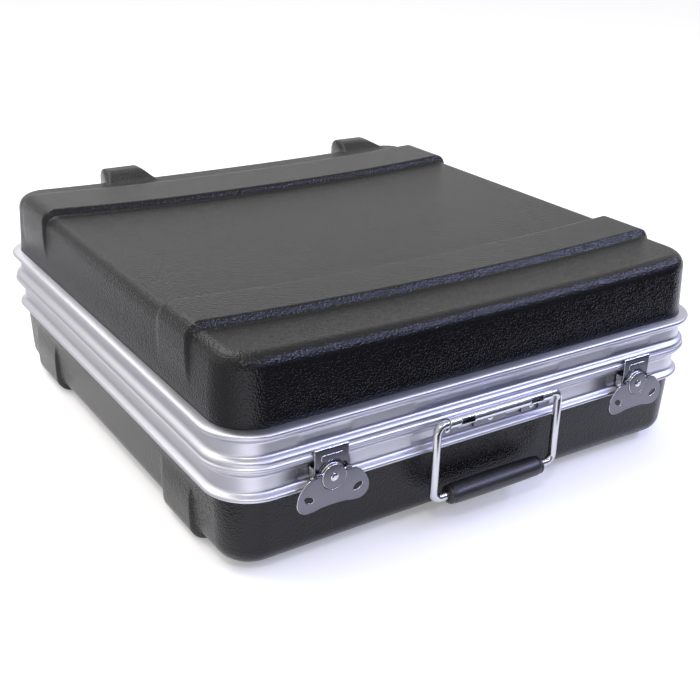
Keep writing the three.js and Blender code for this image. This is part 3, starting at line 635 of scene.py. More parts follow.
def shell_skin(spec, inset, xs, ys):
    """One skin of a shell: its ring points from the rim to the panel's edge, then the panel's inner points.
    Gives the points and the number of rings."""
    cx, cy, dx, dy = plan(xs, ys).T
    lip, offset = spec["lip"], spec["offset"] - inset
    depth, edge = spec["depth"] - inset, spec["edge"] - inset
    start = depth - edge
    draft_top = DRAFT * (start - lip)
    core = CORNER_R + offset - draft_top - edge
    flat_x, flat_y = cx + dx * core, cy + dy * core
    before_rear, run = BUMPER_RUN

    def pushed(y):
        """0 to 1 over the last stretch before the rear, where the bumpers stand out."""
        return smooth((y - (STRAIGHT_Y + core - before_rear)) / run)

    def lifted(x, y, push, weight):
        """How far a point rises with the ribs and bumpers and sinks with the panel's sag."""
        bump = bumper_share(x, inset) * smooth((push - 0.15) / 0.6)
        rib = rib_share(y, spec)
        rise = RIB_RISE * np.maximum(rib, bump)
        bow = 1 - np.abs(np.clip(x / SAG_HALF_X, -1, 1)) ** 2.3
        ends = 0.45 + 0.55 * (1 - np.clip(np.abs(y) / HALF_Y, 0, 1) ** 5)
        share = 1 - (1 - spec["rib_sag"]) * rib
        return weight * (rise - spec["sag"] * bow * ends * share * (1 - bump))

    rings = []
    push = pushed(flat_y)
    for z, inward in skin_levels(lip, depth, edge, INNER_RIM if inset else RIM):
        draft = DRAFT * np.clip(z - lip, 0, start - lip)
        reach = CORNER_R + offset - draft - inward
        x, y = cx + dx * reach, cy + dy * reach
        bulge = spec["bulge"] * rib_share(y, spec) * smooth((z - lip - 12) / 30) * dx ** 2
        stand = BUMPER_REACH - spec["offset"] + draft
        out = bumper_share(x, inset) * smooth((z - lip - 4) / 20) * push * stand
        top = lifted(x, y, push, smooth((z - start + 24) / 24))
        rings.append(np.stack([x + dx * bulge, y + out, z + top], 1))

    panel = []
    outward = (np.sign(xs) * smooth((np.abs(xs) / xs[-1] - 0.84) / 0.16))[1:-1]
    for right in range(len(xs), len(xs) - 1 + panel_rows(ys)):
        edge_x = flat_x[right]
        x = xs[1:-1] + (edge_x - xs[-1]) * outward
        y = np.full_like(x, flat_y[right])
        out = bumper_share(x, inset) * pushed(y) * (BUMPER_REACH - spec["offset"] + draft_top)
        near_edge = np.clip((np.abs(x) / edge_x - 0.8) / 0.2, 0, 1)
        bulge = spec["bulge"] * rib_share(y, spec) * dx[right] ** 2 * near_edge
        top = lifted(x, y, pushed(y), 1.0)
        panel.append(np.stack([x + bulge * np.sign(x), y + out, depth + top], 1))
    return np.vstack(rings + panel), len(rings)


def panel_faces(last, first_inner, count, rows, columns):
    """Quads across a panel whose edge is the ring of points starting at `last`."""
    across, down = np.arange(columns), np.arange(rows + 1)
    grid = np.zeros((rows + 1, columns), int)
    grid[1:-1, 1:-1] = first_inner + np.arange((rows - 1) * (columns - 2)).reshape(rows - 1, columns - 2)
    grid[:, 0] = last + count - down
    grid[0] = last + across
    grid[:, -1] = grid[0, -1] + down
    grid[-1] = grid[-1, -1] + across[::-1]
    corners = (grid[:-1, :-1], grid[:-1, 1:], grid[1:, 1:], grid[1:, :-1])
    return [tuple(face) for face in np.stack(corners, 2).reshape(-1, 4).tolist()]


def add_shell(spec):
    before, after = BUMPER_FLANKS
    x_zones = [(low - before - 2, low + 3) for low, _ in BUMPER_SPANS]
    x_zones += [(high - 3, min(high + after + 2, STRAIGHT_X)) for _, high in BUMPER_SPANS]
    y_zones = []
    for low, high in spec["ribs"]:
        y_zones += [(low - FLANK_FRONT - 1, low + 1), (high - 1, high + FLANK_REAR + 1)]
    xs = stops(-STRAIGHT_X, STRAIGHT_X, 9.0, 2.0, sorted(x_zones))
    ys = stops(-STRAIGHT_Y, STRAIGHT_Y, 8.0, 1.4, sorted(y_zones))
    count = len(plan(xs, ys))
    outer, rings = shell_skin(spec, 0.0, xs, ys)
    inner, _ = shell_skin(spec, SHELL_WALL, xs, ys)

    def skin_faces(start):
        panel = (start + (rings - 1) * count, start + rings * count, count, panel_rows(ys), len(xs))
        return grid_faces(rings, count, wrap_columns=True, start=start) + panel_faces(*panel)

    half = len(outer)
    faces = skin_faces(0) + [face[::-1] for face in skin_faces(half)]
    faces += [((s + 1) % count, s, half + s, half + (s + 1) % count) for s in range(count)]
    part = mirrored((np.vstack([outer, inner]), faces), z=spec["turn"])
    obj = make(f"{spec['name']}_shell_moulding", *part, SHELL, 60)
    return settle(obj, spec["body"], "shell_plastic", f"{spec['name']}_shell")


add_shell(LID)
add_shell(BASE)


# ---------------------------------------------------------------- valances
LID_OUTSIDE = [
    (-1.9, 36.6), (1.6, 36.4), (5.6, 35.7), (7.3, 34.9), (8.0, 33.5), (7.7, 31.9), (6.4, 30.1), (3.2, 27.6),
    (0.7, 26.2), (0, 24.4), (0, 22), (0, 19), (0, 16), (0, 13.6), (0.8, 11.4), (3.4, 10.0), (5.4, 8.2),
    (5.7, 5.6), (5.3, 4.4), (6.9, 3.0), (7.0, 1.5), (6.3, 0.3),
]
LID_INSIDE = [
    (-3.2, 0.3), (-3.4, -3.4), (-5.0, -3.4), (-5.2, 0.3), (-7.0, 0.3), (-7.0, 22), (-5.5, 22), (-5.5, 12),
    (-1.9, 12),
]
BASE_OUTSIDE = [
    (4.6, -0.3), (5.2, -1.2), (4.4, -3.0), (1.6, -5.2), (-0.9, -7.2), (-1.8, -9.2), (-1.8, -11.5),
    (-1.8, -14), (-1.8, -17), (-1.8, -20), (-1.8, -22.6), (-1.1, -24.4), (1.2, -26.0), (3.6, -27.4),
    (4.2, -29.2), (3.6, -30.8), (1.2, -32.0), (-3.4, -32.4),
]
BASE_INSIDE = [
    (-3.4, -12), (-7.0, -12), (-7.0, -22), (-8.4, -22), (-8.4, -0.3), (-6.0, -0.3), (-6.0, -4.4),
    (-2.4, -4.4), (-2.4, -0.3),
]
PRESS_CORNER = 4.5


def pressed(x, z, pockets):
    """0 to 1: how deep a point lies in a pressed pocket with rounded corners."""
    depth = np.zeros_like(x)
    for x0, x1, z0, z1, run in pockets:
        dx = np.abs(x - (x0 + x1) / 2) - (x1 - x0) / 2 + PRESS_CORNER
        dz = np.abs(z - (z0 + z1) / 2) - (z1 - z0) / 2 + PRESS_CORNER
        away = np.hypot(np.maximum(dx, 0), np.maximum(dz, 0)) + np.minimum(np.maximum(dx, dz), 0)
        depth = np.maximum(depth, smooth((PRESS_CORNER - away) / run))
    return depth


def pockets(latch_span, handle_span, low, high, run):
    """The pressed pockets behind the latches and the handle, as (x0, x1, z0, z1, width of their slope)."""
    spans = [(side * LATCH_X + latch_span[0], side * LATCH_X + latch_span[1]) for _, side in SIDES]
    return [(x0, x1, low, high, run) for x0, x1 in [*spans, handle_span]]


def add_valance(name, body, outside, inside, recess, pressings, press):
    zones = []
    for x0, x1, _, _, run in pressings:
        zones += [(x0 - 1, x0 + run + PRESS_CORNER), (x1 - run - PRESS_CORNER, x1 + 1)]
    xs = stops(-STRAIGHT_X, STRAIGHT_X, 12.0, 1.2, sorted(zones))
    ys = stops(-STRAIGHT_Y, STRAIGHT_Y, 24.0, 24.0, [])
    cx, cy, dx, dy = plan(xs, ys).T[:, :, None]
    line = rounded(outside)
    reach, height = np.array(line + inside).T
    x, y = cx + dx * (CORNER_R + reach), cy + dy * (CORNER_R + reach)
    z = np.broadcast_to(height, x.shape)
    front, flat = slice(len(xs)), np.flatnonzero(np.abs(reach[:len(line)] - recess) < 0.5)
    y[front, flat] += press * pressed(x[front, flat], z[front, flat], pressings)
    faces = grid_faces(*x.shape, wrap_rows=True, wrap_columns=True)
    obj = make(f"{name}_rail", np.stack([x, y, z], 2).reshape(-1, 3), faces, VALANCE, 50)
    return settle(obj, body, "valance_aluminium", name)


add_valance("lid_valance", "lid", LID_OUTSIDE, LID_INSIDE, 0.0,
            pockets((-29, 27), (-92, 84), 13.8, 24.2, 3.0), 0.3)
add_valance("base_valance", "case", BASE_OUTSIDE, BASE_INSIDE, -1.8,
            pockets((-30, 26), (-93, 78), -22.8, -9.2, 3.5), 1.2)


# ---------------------------------------------------------------- placing pieces
def forwards(part):
    """(distance out, across, up) becomes a point in front of the recess plane."""
    points = np.asarray(part[0], float)
    return np.stack([points[:, 1], -points[:, 0], points[:, 2]], 1), part[1]


def rod(radius, x0, x1, y, z, sides, chamfer=0.0):
    """A round bar along X, with chamfered ends where asked."""
    start, end = [(x0, radius)], [(x1, radius)]
    if chamfer:
        start = [(x0, radius - chamfer), (x0 + chamfer, radius)]
        end = [(x1 - chamfer, radius), (x1, radius - chamfer)]
    return moved(lathe([(x0, 0), *start, *end, (x1, 0)], sides), y=y, z=z)


def block(x0, x1, y0, y1, z0, z1):
    return along_x([(y0, z0), (y1, z0), (y1, z1), (y0, z1)], [x0, x1])


def rounded_box_outline(x0, x1, z0, z1, radius, steps=6):
    left, right, low, high = x0 + radius, x1 - radius, z0 + radius, z1 - radius
    centres = ((right, low), (right, high), (left, high), (left, low))
    return [point for i, centre in enumerate(centres)
            for point in arc(*centre, radius, 90 * i - 90, 90 * i, steps)]


def copy_at(master, name, x=0.0, y=0.0, z=0.0, half_turn=False):
    """Another piece with the same mesh, moved by millimetres."""
    obj = master.copy()
    obj.name = name
    bpy.context.scene.collection.objects.link(obj)
    obj.location = (x * MM, y * MM, z * MM)
    if half_turn:
        obj.rotation_euler = (0, 0, math.pi)
    return obj


def discard(masters):
    for master in masters:
        bpy.data.objects.remove(master)


def add_pairs(pieces, x, y):
    """Each master on the left and on the right; a body other than the case or the lid has one of each too."""
    for label, side in SIDES:
        for name, (master, body, slot) in pieces.items():
            node = f"{name}_{label}"
            rides_on = body if body in ("case", "lid") else f"{body}_{label}"
            settle(copy_at(master, f"{node}_piece", side * x, y), rides_on, slot, node)
    discard(master for master, _, _ in pieces.values())


# ---------------------------------------------------------------- rivets
RIVET_Z = {"lid": 18.8, "case": -16.0}
RIVET_GAP = 0.05


def rivet():
    """A domed head and a short shank; the seat of the head is at distance 0."""
    head, height, shank, depth = 3.2, 1.3, 1.5, 0.9
    dome = [(height * math.cos(t), head * math.sin(t)) for t in np.radians([0, 15, 29, 42, 54, 65, 75, 83])]
    return lathe(dome + [(0.14, head), (0.0, head - 0.1), (0.0, shank), (-depth, shank), (-depth, 0)], 28)


def add_rivets():
    front = make("rivet_front", *forwards(rivet()), RIVET_METAL, 50)
    rear = make("rivet_rear", *mirrored(forwards(rivet()), y=-1), RIVET_METAL, 50)
    rows = [("handle_rivet", "case", front, 0.0, (-52.0, 0.0, 52.0), -0.1)]
    for label, side in SIDES:
        rows += [(f"latch_rivet_{label}", "case", front, side * LATCH_X, (-12.5, 12.5), -0.1),
                 (f"hinge_lid_rivet_{label}", "lid", rear, side * HINGE_X, (-11.0, 11.0), 1.7),
                 (f"hinge_base_rivet_{label}", "case", rear, side * HINGE_X, (-11.0, 11.0), -0.1)]
    rows += [("lid_splice_rivet", "lid", rear, 0.0, (-16.0, 16.0), 1.5),
             ("base_splice_rivet", "case", rear, 0.0, (-16.0, 16.0), -0.3)]
    for row, body, master, middle, offsets, seat in rows:
        y = (HALF_Y + seat + RIVET_GAP) * (-1 if master is front else 1)
        for i, dx in enumerate(offsets):
            node = f"{row}_{i + 1}"
            settle(copy_at(master, f"{node}_head", middle + dx, y, RIVET_Z[body]), body, "rivet_steel", node)
    discard((front, rear))


# ---------------------------------------------------------------- latches
ROTOR_Z = -18.5
PIN_Z = -13.5
PIN_REACH = 12.9
LATCH_HALF = 17.2
LATCH_TOP = 7.6
WING_NEAR = 12.1
WING_FAR = 13.7


def pressing(obj):
    """A plated pressing with painted light: its rounded rims get the bright plated steel as a painted
    highlight, and its flat front faces keep the dark steel as a painted dark reflection.
    """
    shaded(obj, 40).data.materials.append(BRIGHT)
    # Faces that don't face the front take the bright steel: a painted highlight on the rims.
    for face in obj.data.polygons:
        on_hinge_line = abs(face.center.z / MM - PARTING - PIN_Z) < 3 and abs(face.center.x / MM) > 12.6
        if abs(face.normal.y) < 0.93 and not on_hinge_line:
            face.material_index = 1
    return keep_flats(obj)


def latch_plate():
    """A tray bent from sheet, with its sides turned forwards."""
    sheet, outer_r, inner_r = 1.3, 1.8, 0.7
    outside = [(-LATCH_HALF, LATCH_TOP), *arc(-LATCH_HALF + outer_r, 0.3, outer_r, 180, 270, 6)]
    inside = [(LATCH_HALF - sheet, LATCH_TOP), *arc(LATCH_HALF - sheet - inner_r, 0.6, inner_r, 0, -90, 4)]
    outline = outside + reflected(outside) + inside + reflected(inside)
    points, faces = plate(outline, [], 9.9, 22.2, 0.25)
    return make("latch_plate", np.stack([points[:, 0], -points[:, 2], points[:, 1]], 1), faces, NICKEL)


def latch_hook():
    half, shoulder, shoulder_r, eye = LATCH_HALF, -15.6, 2.0, 13.0
    side = [(-half, LATCH_TOP), *arc(-half + shoulder_r, shoulder, shoulder_r, 180, 240, 4)]
    outline = side + arc(0, shoulder - 4.2, eye, 184, 356, 30) + reflected(side)
    slot = arc(0, ROTOR_Z, 3.0, 0, 180, 12) + arc(0, ROTOR_Z - 6, 3.0, 180, 360, 12)
    face = make("latch_hook", *plate(outline, [slot], 8.3, 9.5, 0.3), PAINTED_DARK_STEEL)
    roll = [(-9.5, 6.6), *arc(-7.9, 7.4, 1.6, 180, 90, 7), (-7.35, 8.9), (-7.35, 7.9), (-8.1, 7.6),
            (-8.5, 6.6)]
    claw = make("claw", *along_x(roll, [-half, -half + 0.3, half - 0.3, half]), PAINTED_DARK_STEEL)
    ledge = plate(rounded_box_outline(-11, 11, -3.4, 2.6, 1.6), [], 9.0, 10.4, 0.65)
    ledge = make("ledge", *ledge, PAINTED_DARK_STEEL)
    return pressing(combined(face, "UNION", claw, ledge))


def latch_rotor():
    """A wide flange behind, a narrower disc in front, and a groove across it for the wing's pin."""
    profile = [(9.8, 2.8), (9.8, 14.6), (10.0, 15.0), (10.35, 15.0), (10.6, 14.7), (10.6, 13.0), (10.7, 12.5),
               (11.0, 12.1), (11.4, 12.0), (13.3, 12.0), (13.7, 11.9), (14.0, 11.6), (14.12, 11.1),
               (14.12, 2.8)]
    disc = forwards(spun(profile, 72, wrap_rows=True))
    disc = make("latch_rotor", *moved(disc, z=ROTOR_Z), PAINTED_DARK_STEEL)
    groove = make("groove", *rod(0.98, -20, 20, -PIN_REACH, PIN_Z, 20), PAINTED_DARK_STEEL)
    return pressing(combined(disc, "DIFFERENCE", groove))


def wing_outline():
    """A butterfly: a notch for the rotor at the top, then the right lobe, the waist and the left lobe."""
    notch, lobe_x, lobe_z, lobe_r = 12.6, 26.0, -37.3, 11.0
    waist, shoulder, tip = (14.0, -46.6), (31.5, -23.4), (22.0, PIN_Z - 2)
    start = math.degrees(math.asin((tip[1] - ROTOR_Z) / notch))
    right = curve_through(tip, (27.4, PIN_Z - 4), shoulder, 6)[:-1]
    right += curve_through(shoulder, (36.6, -30), (lobe_x + lobe_r, lobe_z + 1), 8)[:-1]
    right += arc(lobe_x, lobe_z, lobe_r, 0, -86, 12)
    right += curve_through((lobe_x - 1, lobe_z - lobe_r), (19, -48.2), waist, 6)
    bottom = curve_through(waist, (0, -45.2), (-waist[0], waist[1]), 10)[1:-1]
    return arc(0, ROTOR_Z, notch, 180 - start, 360 + start, 40) + right + bottom + reflected(right)


def latch_wing():
    """The butterfly with an oval hole in each lobe, and the ears that its pin runs through."""
    cos_tilt, sin_tilt, long_r, short_r = math.cos(0.5), math.sin(0.5), 5.2, 3.1
    hole = []
    for t in np.linspace(0, 2 * math.pi, 24, endpoint=False):
        u, v = long_r * math.cos(t), short_r * math.sin(t)
        hole.append((25 + u * cos_tilt - v * sin_tilt, -35.2 + u * sin_tilt + v * cos_tilt))
    face = plate(wing_outline(), [hole, reflected(hole)], WING_NEAR, WING_FAR, 0.5)
    wing = make("latch_wing", *face, PAINTED_DARK_STEEL)
    ears = []
    for x0, x1 in ((-17.5, -13.0), (13.0, 17.5)):
        ears.append(make("ear", *rod(2.1, x0, x1, -PIN_REACH, PIN_Z, 32, 0.3), PAINTED_DARK_STEEL))
        web = block(x0, x1, -WING_FAR + 0.01, -WING_NEAR - 0.01, PIN_Z - 2.9, PIN_Z)
        ears.append(make("web", *web, PAINTED_DARK_STEEL))
    bore = make("bore", *rod(1.15, -20, 20, -PIN_REACH, PIN_Z, 20), PAINTED_DARK_STEEL)
    return pressing(combined(combined(wing, "UNION", *ears), "DIFFERENCE", bore))


def latch_pivot():
    profile = [(-1.4, 0), (-1.4, 2.5), (14.2, 2.5), (14.2, 3.7), (14.35, 3.95), (14.6, 4.0), (14.95, 3.6),
               (15.3, 2.9), (15.45, 2.3), (15.45, 1.5), (15.1, 1.2), (15.1, 0)]
    return make("latch_pivot", *moved(forwards(lathe(profile, 36)), z=ROTOR_Z), NICKEL, 40)


def latch_pin():
    end = [(-17.2, 0), (-17.1, 0.6), (-16.8, 0.88)]
    return make("latch_pin", *moved(lathe(end + reflected(end), 20), y=-PIN_REACH, z=PIN_Z), BRIGHT, 40)


def add_latches():
    pieces = {
        "latch_plate": (latch_plate(), "case", "plated_steel"),
        "latch_pivot": (latch_pivot(), "case", "plated_steel"),
        "latch_hook": (latch_hook(), "latch_slide", "latch_steel"),
        "latch_rotor": (latch_rotor(), "latch_turn", "latch_steel"),
        "latch_wing_pin": (latch_pin(), "latch_turn", "plated_steel"),
        "latch_wing": (latch_wing(), "latch_flap", "latch_steel"),
    }
    add_pairs(pieces, LATCH_X, -HALF_Y)


# ---------------------------------------------------------------- handle
TUBE_REACH = 12.8
TUBE_Z = -0.5
TUBE_R = 5.5
SHEET = 1.05
PLATE_HALF = 62.0
TAB_GAP = (20.0, 39.0)
WINDOW = (34.0, 50.0)
ROLL_FOOT = -9.2
WIRE_R = 4.1
BAIL_HALF = 74.0
BAIL_DROP = 77.5


def sheet_grid(front, back, kept):
    """A sheet of metal from two grids of points; cells that aren't kept are openings."""
    rows, columns = front.shape[:2]
    points = np.vstack([front.reshape(-1, 3), back.reshape(-1, 3)])
    under = rows * columns
    faces = []
    for i in range(rows - 1):
        for j in range(columns - 1):
            if not kept[i, j]:
                continue
            a, d = i * columns + j, (i + 1) * columns + j
            b, c = a + 1, d + 1
            faces += [(a, b, c, d), (a + under, d + under, c + under, b + under)]
            edges = ((i - 1, j, a, b), (i, j + 1, b, c), (i + 1, j, c, d), (i, j - 1, d, a))
            for ni, nj, p, q in edges:
                if not (0 <= ni < rows - 1 and 0 <= nj < columns - 1 and kept[ni, nj]):
                    faces.append((p, p + under, q + under, q))
    used = sorted({i for face in faces for i in face})
    index = {old: new for new, old in enumerate(used)}
    return points[used], [tuple(index[i] for i in face) for face in faces]


def handle_line():
    """The middle of the plate's sheet, from the foot of the tabs round the knuckle, as (reach, height), the
    distance to each point along it, and the distance at which the knuckle starts."""
    rise = [(-0.8, -22.2), (-0.8, -11.0), (0.6, -9.3), (4.6, -7.2), (8.4, -6.1), (10.4, -5.5), (12.0, -5.3)]
    rise = rounded(rise, 3)
    roll = arc(TUBE_REACH, TUBE_Z, TUBE_R - SHEET / 2, -96, 222, 44)
    line = np.array(rise[:-1] + roll)
    run = np.concatenate([[0], np.cumsum(np.hypot(*np.diff(line, axis=0).T))])
    return line, run, run[len(rise) - 1]


def corner_cut(radius, away):
    """How much a corner of this radius takes off an edge, at a distance along it from the corner."""
    return radius - math.sqrt(radius ** 2 - max(radius - away, 0) ** 2)


def handle_foot(x):
    """Where the sheet starts along its line: tabs at the middle and ends, a scalloped edge between them."""
    x = abs(x)
    near, far = TAB_GAP
    if near < x < far:
        scallop = 11.6 + 0.5 * math.cos((x - near) / (far - near) * 2 * math.pi)
        return scallop - corner_cut(3.6, min(x - near, far - x))
    corners = [near] if x <= near else [far, PLATE_HALF]
    return corner_cut(3.0, min(abs(x - corner) for corner in corners))


def handle_columns():
    """Places across the plate: even steps, and close ones at the edges of tabs, windows and the plate."""
    close = (0.35, 0.9, 1.6, 2.4, 3.2)
    places = {0.0, PLATE_HALF, WINDOW[0] - 0.4, *WINDOW, WINDOW[1] + 0.4, *(PLATE_HALF - d for d in close)}
    places |= {gap + sign * d for gap in TAB_GAP for d in (0.02, *close) for sign in (-1, 1)}
    places |= set(np.arange(1.6, PLATE_HALF - 3, 1.6).tolist())
    return np.array(sorted({-x for x in places} | places))


def handle_plate():
    line, run, turn = handle_line()
    xs = handle_columns()
    bend, last = 12.6, run[-1]
    shares = np.array([0, 0.03, 0.12, 0.3, 0.55, 0.8])[:, None]
    high = np.append(np.linspace(bend, last - 0.35, 74), last)[:, None]
    feet = np.array([handle_foot(x) for x in xs])
    grid = np.vstack([feet + (bend - feet) * shares, np.broadcast_to(high, (len(high), len(xs)))])

    def on_line(distance):
        return np.stack([np.interp(distance, run, line[:, axis]) for axis in (0, 1)], 2)

    centre, step = on_line(grid), 0.25
    along = on_line(grid + step) - on_line(grid - step)
    along /= np.linalg.norm(along, axis=2, keepdims=True)
    normal = np.stack([along[:, :, 1], -along[:, :, 0]], 2)

    around = np.degrees(np.arctan2(centre[:, 0, 1] - TUBE_Z, centre[:, 0, 0] - TUBE_REACH))
    middle_x = np.abs(xs[:-1] + xs[1:]) / 2
    at_front = (grid[:-1, 0] >= turn) & (np.abs((around[:-1] + around[1:]) / 2 + 2) < 33)
    kept = ~np.outer(at_front, (middle_x > WINDOW[0]) & (middle_x < WINDOW[1]))

    edge = np.zeros(grid.shape, bool)
    edge[[0, -1]] = True
    edge[:, [0, -1]] = True
    rows, columns = kept.shape
    for i, j in ((0, 0), (0, 1), (1, 0), (1, 1)):
        edge[i:rows + i, j:columns + j] |= ~kept
    offset = normal * (SHEET / 2 * np.where(edge, 0.5, 1.0))[:, :, None]

    def skin(middle):
        return np.stack([np.broadcast_to(xs, grid.shape), -HALF_Y - middle[:, :, 0], middle[:, :, 1]], 2)

    part = sheet_grid(skin(centre + offset), skin(centre - offset), kept)
    obj = make("handle_plate_piece", *part, PAINTED_DARK_STEEL, 50)
    # Painted light: the roll above ROLL_FOOT gets the bright plated steel as a painted highlight, and the
    # tabs below keep the dark steel as a painted dark reflection.
    obj.data.materials.append(BRIGHT)
    for face in obj.data.polygons:
        face.material_index = int(face.center.z / MM - PARTING > ROLL_FOOT)
    return settle(obj, "case", "plated_steel", "handle_plate")


def swept_wire(path, radius, sides=28):
    """A round wire along a path in the plane of the bail, with domed ends."""
    dome, dome_r = 0.5, radius - 0.6
    path = np.array(path)
    tangent = np.gradient(path, axis=0)
    tangent /= np.linalg.norm(tangent, axis=1, keepdims=True)
    across = np.stack([-tangent[:, 1], tangent[:, 0]], 1)
    rings = [(path[0] - tangent[0] * dome, across[0], dome_r)]
    rings += [(point, normal, radius) for point, normal in zip(path, across)]
    rings += [(path[-1] + tangent[-1] * dome, across[-1], dome_r)]
    angles = np.linspace(0, 2 * math.pi, sides, endpoint=False)
    return capped([[(x + nx * r * math.cos(t), r * math.sin(t), z + nz * r * math.cos(t)) for t in angles]
                   for (x, z), (nx, nz), r in rings])


def add_bail():
    half, bend, low = BAIL_HALF, 8.0, TUBE_Z - BAIL_DROP
    left = [(x, TUBE_Z) for x in np.linspace(-51.5, -half + bend, 6)]
    left += arc(-half + bend, TUBE_Z - bend, bend, 90, 180, 14)[1:]
    left += [(-half, z) for z in np.linspace(TUBE_Z - bend, low + bend, 16)[1:-1]]
    left += arc(-half + bend, low + bend, bend, 180, 270, 14)
    bottom = [(x, low) for x in np.linspace(-half + bend, half - bend, 8)[1:-1]]
    part = moved(swept_wire(left + bottom + reflected(left), WIRE_R), y=-HALF_Y - TUBE_REACH)
    settle(make("bail_wire", *part, NICKEL, 60), "bail", "plated_steel", "handle_bail")


def add_grip():
    """A sleeve with a collar at each end, a slight belly, less height than depth and a moulding seam."""
    half, bore, flank = 57.5, 4.45, 49.0
    end = [(0.0, bore), (0.0, 7.0), (0.25, 8.3), (0.9, 9.2), (1.8, 9.7), (2.7, 9.75), (3.2, 9.45),
           (3.55, 9.1), (3.95, 9.1), (4.3, 9.5), (5.0, 10.0), (7.0, 10.35), (10.0, 10.5)]
    left = [(-half + d, r) for d, r in end]
    belly = [(x, 10.5 + 0.45 * (1 - (x / flank) ** 2)) for x in np.linspace(-43, 43, 13)]
    points, faces = spun(left + belly + reflected(left), 56, wrap_rows=True)
    angle = np.arctan2(points[:, 2], points[:, 1])
    radius = np.hypot(points[:, 1], points[:, 2])
    share = smooth((radius - bore) / 3.0)
    points[:, 1] *= 1 + 0.015 * share
    points[:, 2] *= 1 - 0.09 * share
    seam = np.exp(-(np.degrees(np.abs(angle) - math.pi / 2) / 2.2) ** 2) * share * 0.10
    points[:, 1:] *= (1 + seam / np.maximum(radius, 1))[:, None]
    part = moved((points, faces), y=-HALF_Y - TUBE_REACH, z=TUBE_Z - BAIL_DROP)
    settle(make("grip_sleeve", *part, GRIP, 50), "bail", "grip_vinyl", "handle_grip")


# ---------------------------------------------------------------- hinges and splices
LID_LEAF = [
    (0.3, 24.2), (0.3, 13.2), (1.3, 12.1), (3.9, 10.3), (6.0, 8.1), (7.1, 4.9), (8.0, 2.4), (8.9, 0.9),
    (10.0, 2.5), (8.6, 5.5), (7.3, 9.0), (4.9, 11.3), (2.2, 13.1), (1.7, 13.9), (1.7, 24.2),
]
BASE_LEAF = [
    (-1.5, -21.8), (-1.5, -9.7), (-0.8, -8.3), (2.0, -6.4), (5.2, -4.2), (7.4, -2.6), (8.9, -0.9),
    (10.0, -2.5), (7.8, -4.3), (5.8, -5.7), (2.8, -7.7), (0.4, -9.4), (-0.1, -10.2), (-0.1, -21.8),
]
HINGE_REACH = 10.8
HINGE_HALF = 19.0


def hinge_leaf(name, section, barrels, gaps):
    """A leaf with knuckles at the barrels, cleared for the other leaf's in the gaps and bored for the pin."""
    def bar(radius, x0, x1, sides, chamfer=0.0):
        return make("bar", *rod(radius, x0, x1, HINGE_REACH, 0.0, sides, chamfer), HINGE_METAL)

    half = HINGE_HALF
    leaf = make(name, *along_x(rounded(section, 1, closed=True), [-half, half]), HINGE_METAL)
    combined(leaf, "UNION", *[bar(3.3, x0, x1, 40, 0.2) for x0, x1 in barrels])
    combined(leaf, "DIFFERENCE", *[bar(3.6, x0, x1, 40) for x0, x1 in gaps])
    return shaded(combined(leaf, "DIFFERENCE", bar(1.75, -half - 1, half + 1, 24)), 40)


def hinge_pin():
    end = HINGE_HALF + 0.3
    head = [(1.2, 0), (1.15, 1.2), (0.9, 2.0), (0.5, 2.5), (0.1, 2.6), (0, 2.5), (0, 1.4)]
    head = [(-end - d, r) for d, r in head]
    return make("hinge_pin", *moved(lathe(head + reflected(head), 28), y=HINGE_REACH), BRIGHT, 40)


def add_hinges():
    lid_leaf = hinge_leaf("hinge_lid_leaf", LID_LEAF, [(-18.9, -7.3), (7.3, 18.9)], [(-7.2, 7.2)])
    base_leaf = hinge_leaf("hinge_base_leaf", BASE_LEAF, [(-7.0, 7.0)], [(-20.0, -7.1), (7.1, 20.0)])
    pieces = {
        "hinge_lid_leaf": (lid_leaf, "lid", "hinge_steel"),
        "hinge_base_leaf": (base_leaf, "case", "hinge_steel"),
        "hinge_pin": (hinge_pin(), "case", "plated_steel"),
    }
    add_pairs(pieces, HINGE_X, HALF_Y)


def add_splices():
    lid, base = ("lid", "lid", 0.3, 14.0, 24.0), ("base", "case", -1.5, -21.8, -10.0)
    for name, body, near, low, high in (lid, base):
        outline = rounded_box_outline(-26, 26, low, high, 2.2)
        part = mirrored(plate(outline, [], near, near + 1.2, 0.35), y=-1)
        obj = keep_flats(make(f"{name}_splice_piece", *moved(part, y=HALF_Y), VALANCE))
        settle(obj, body, "valance_aluminium", f"{name}_splice_plate")


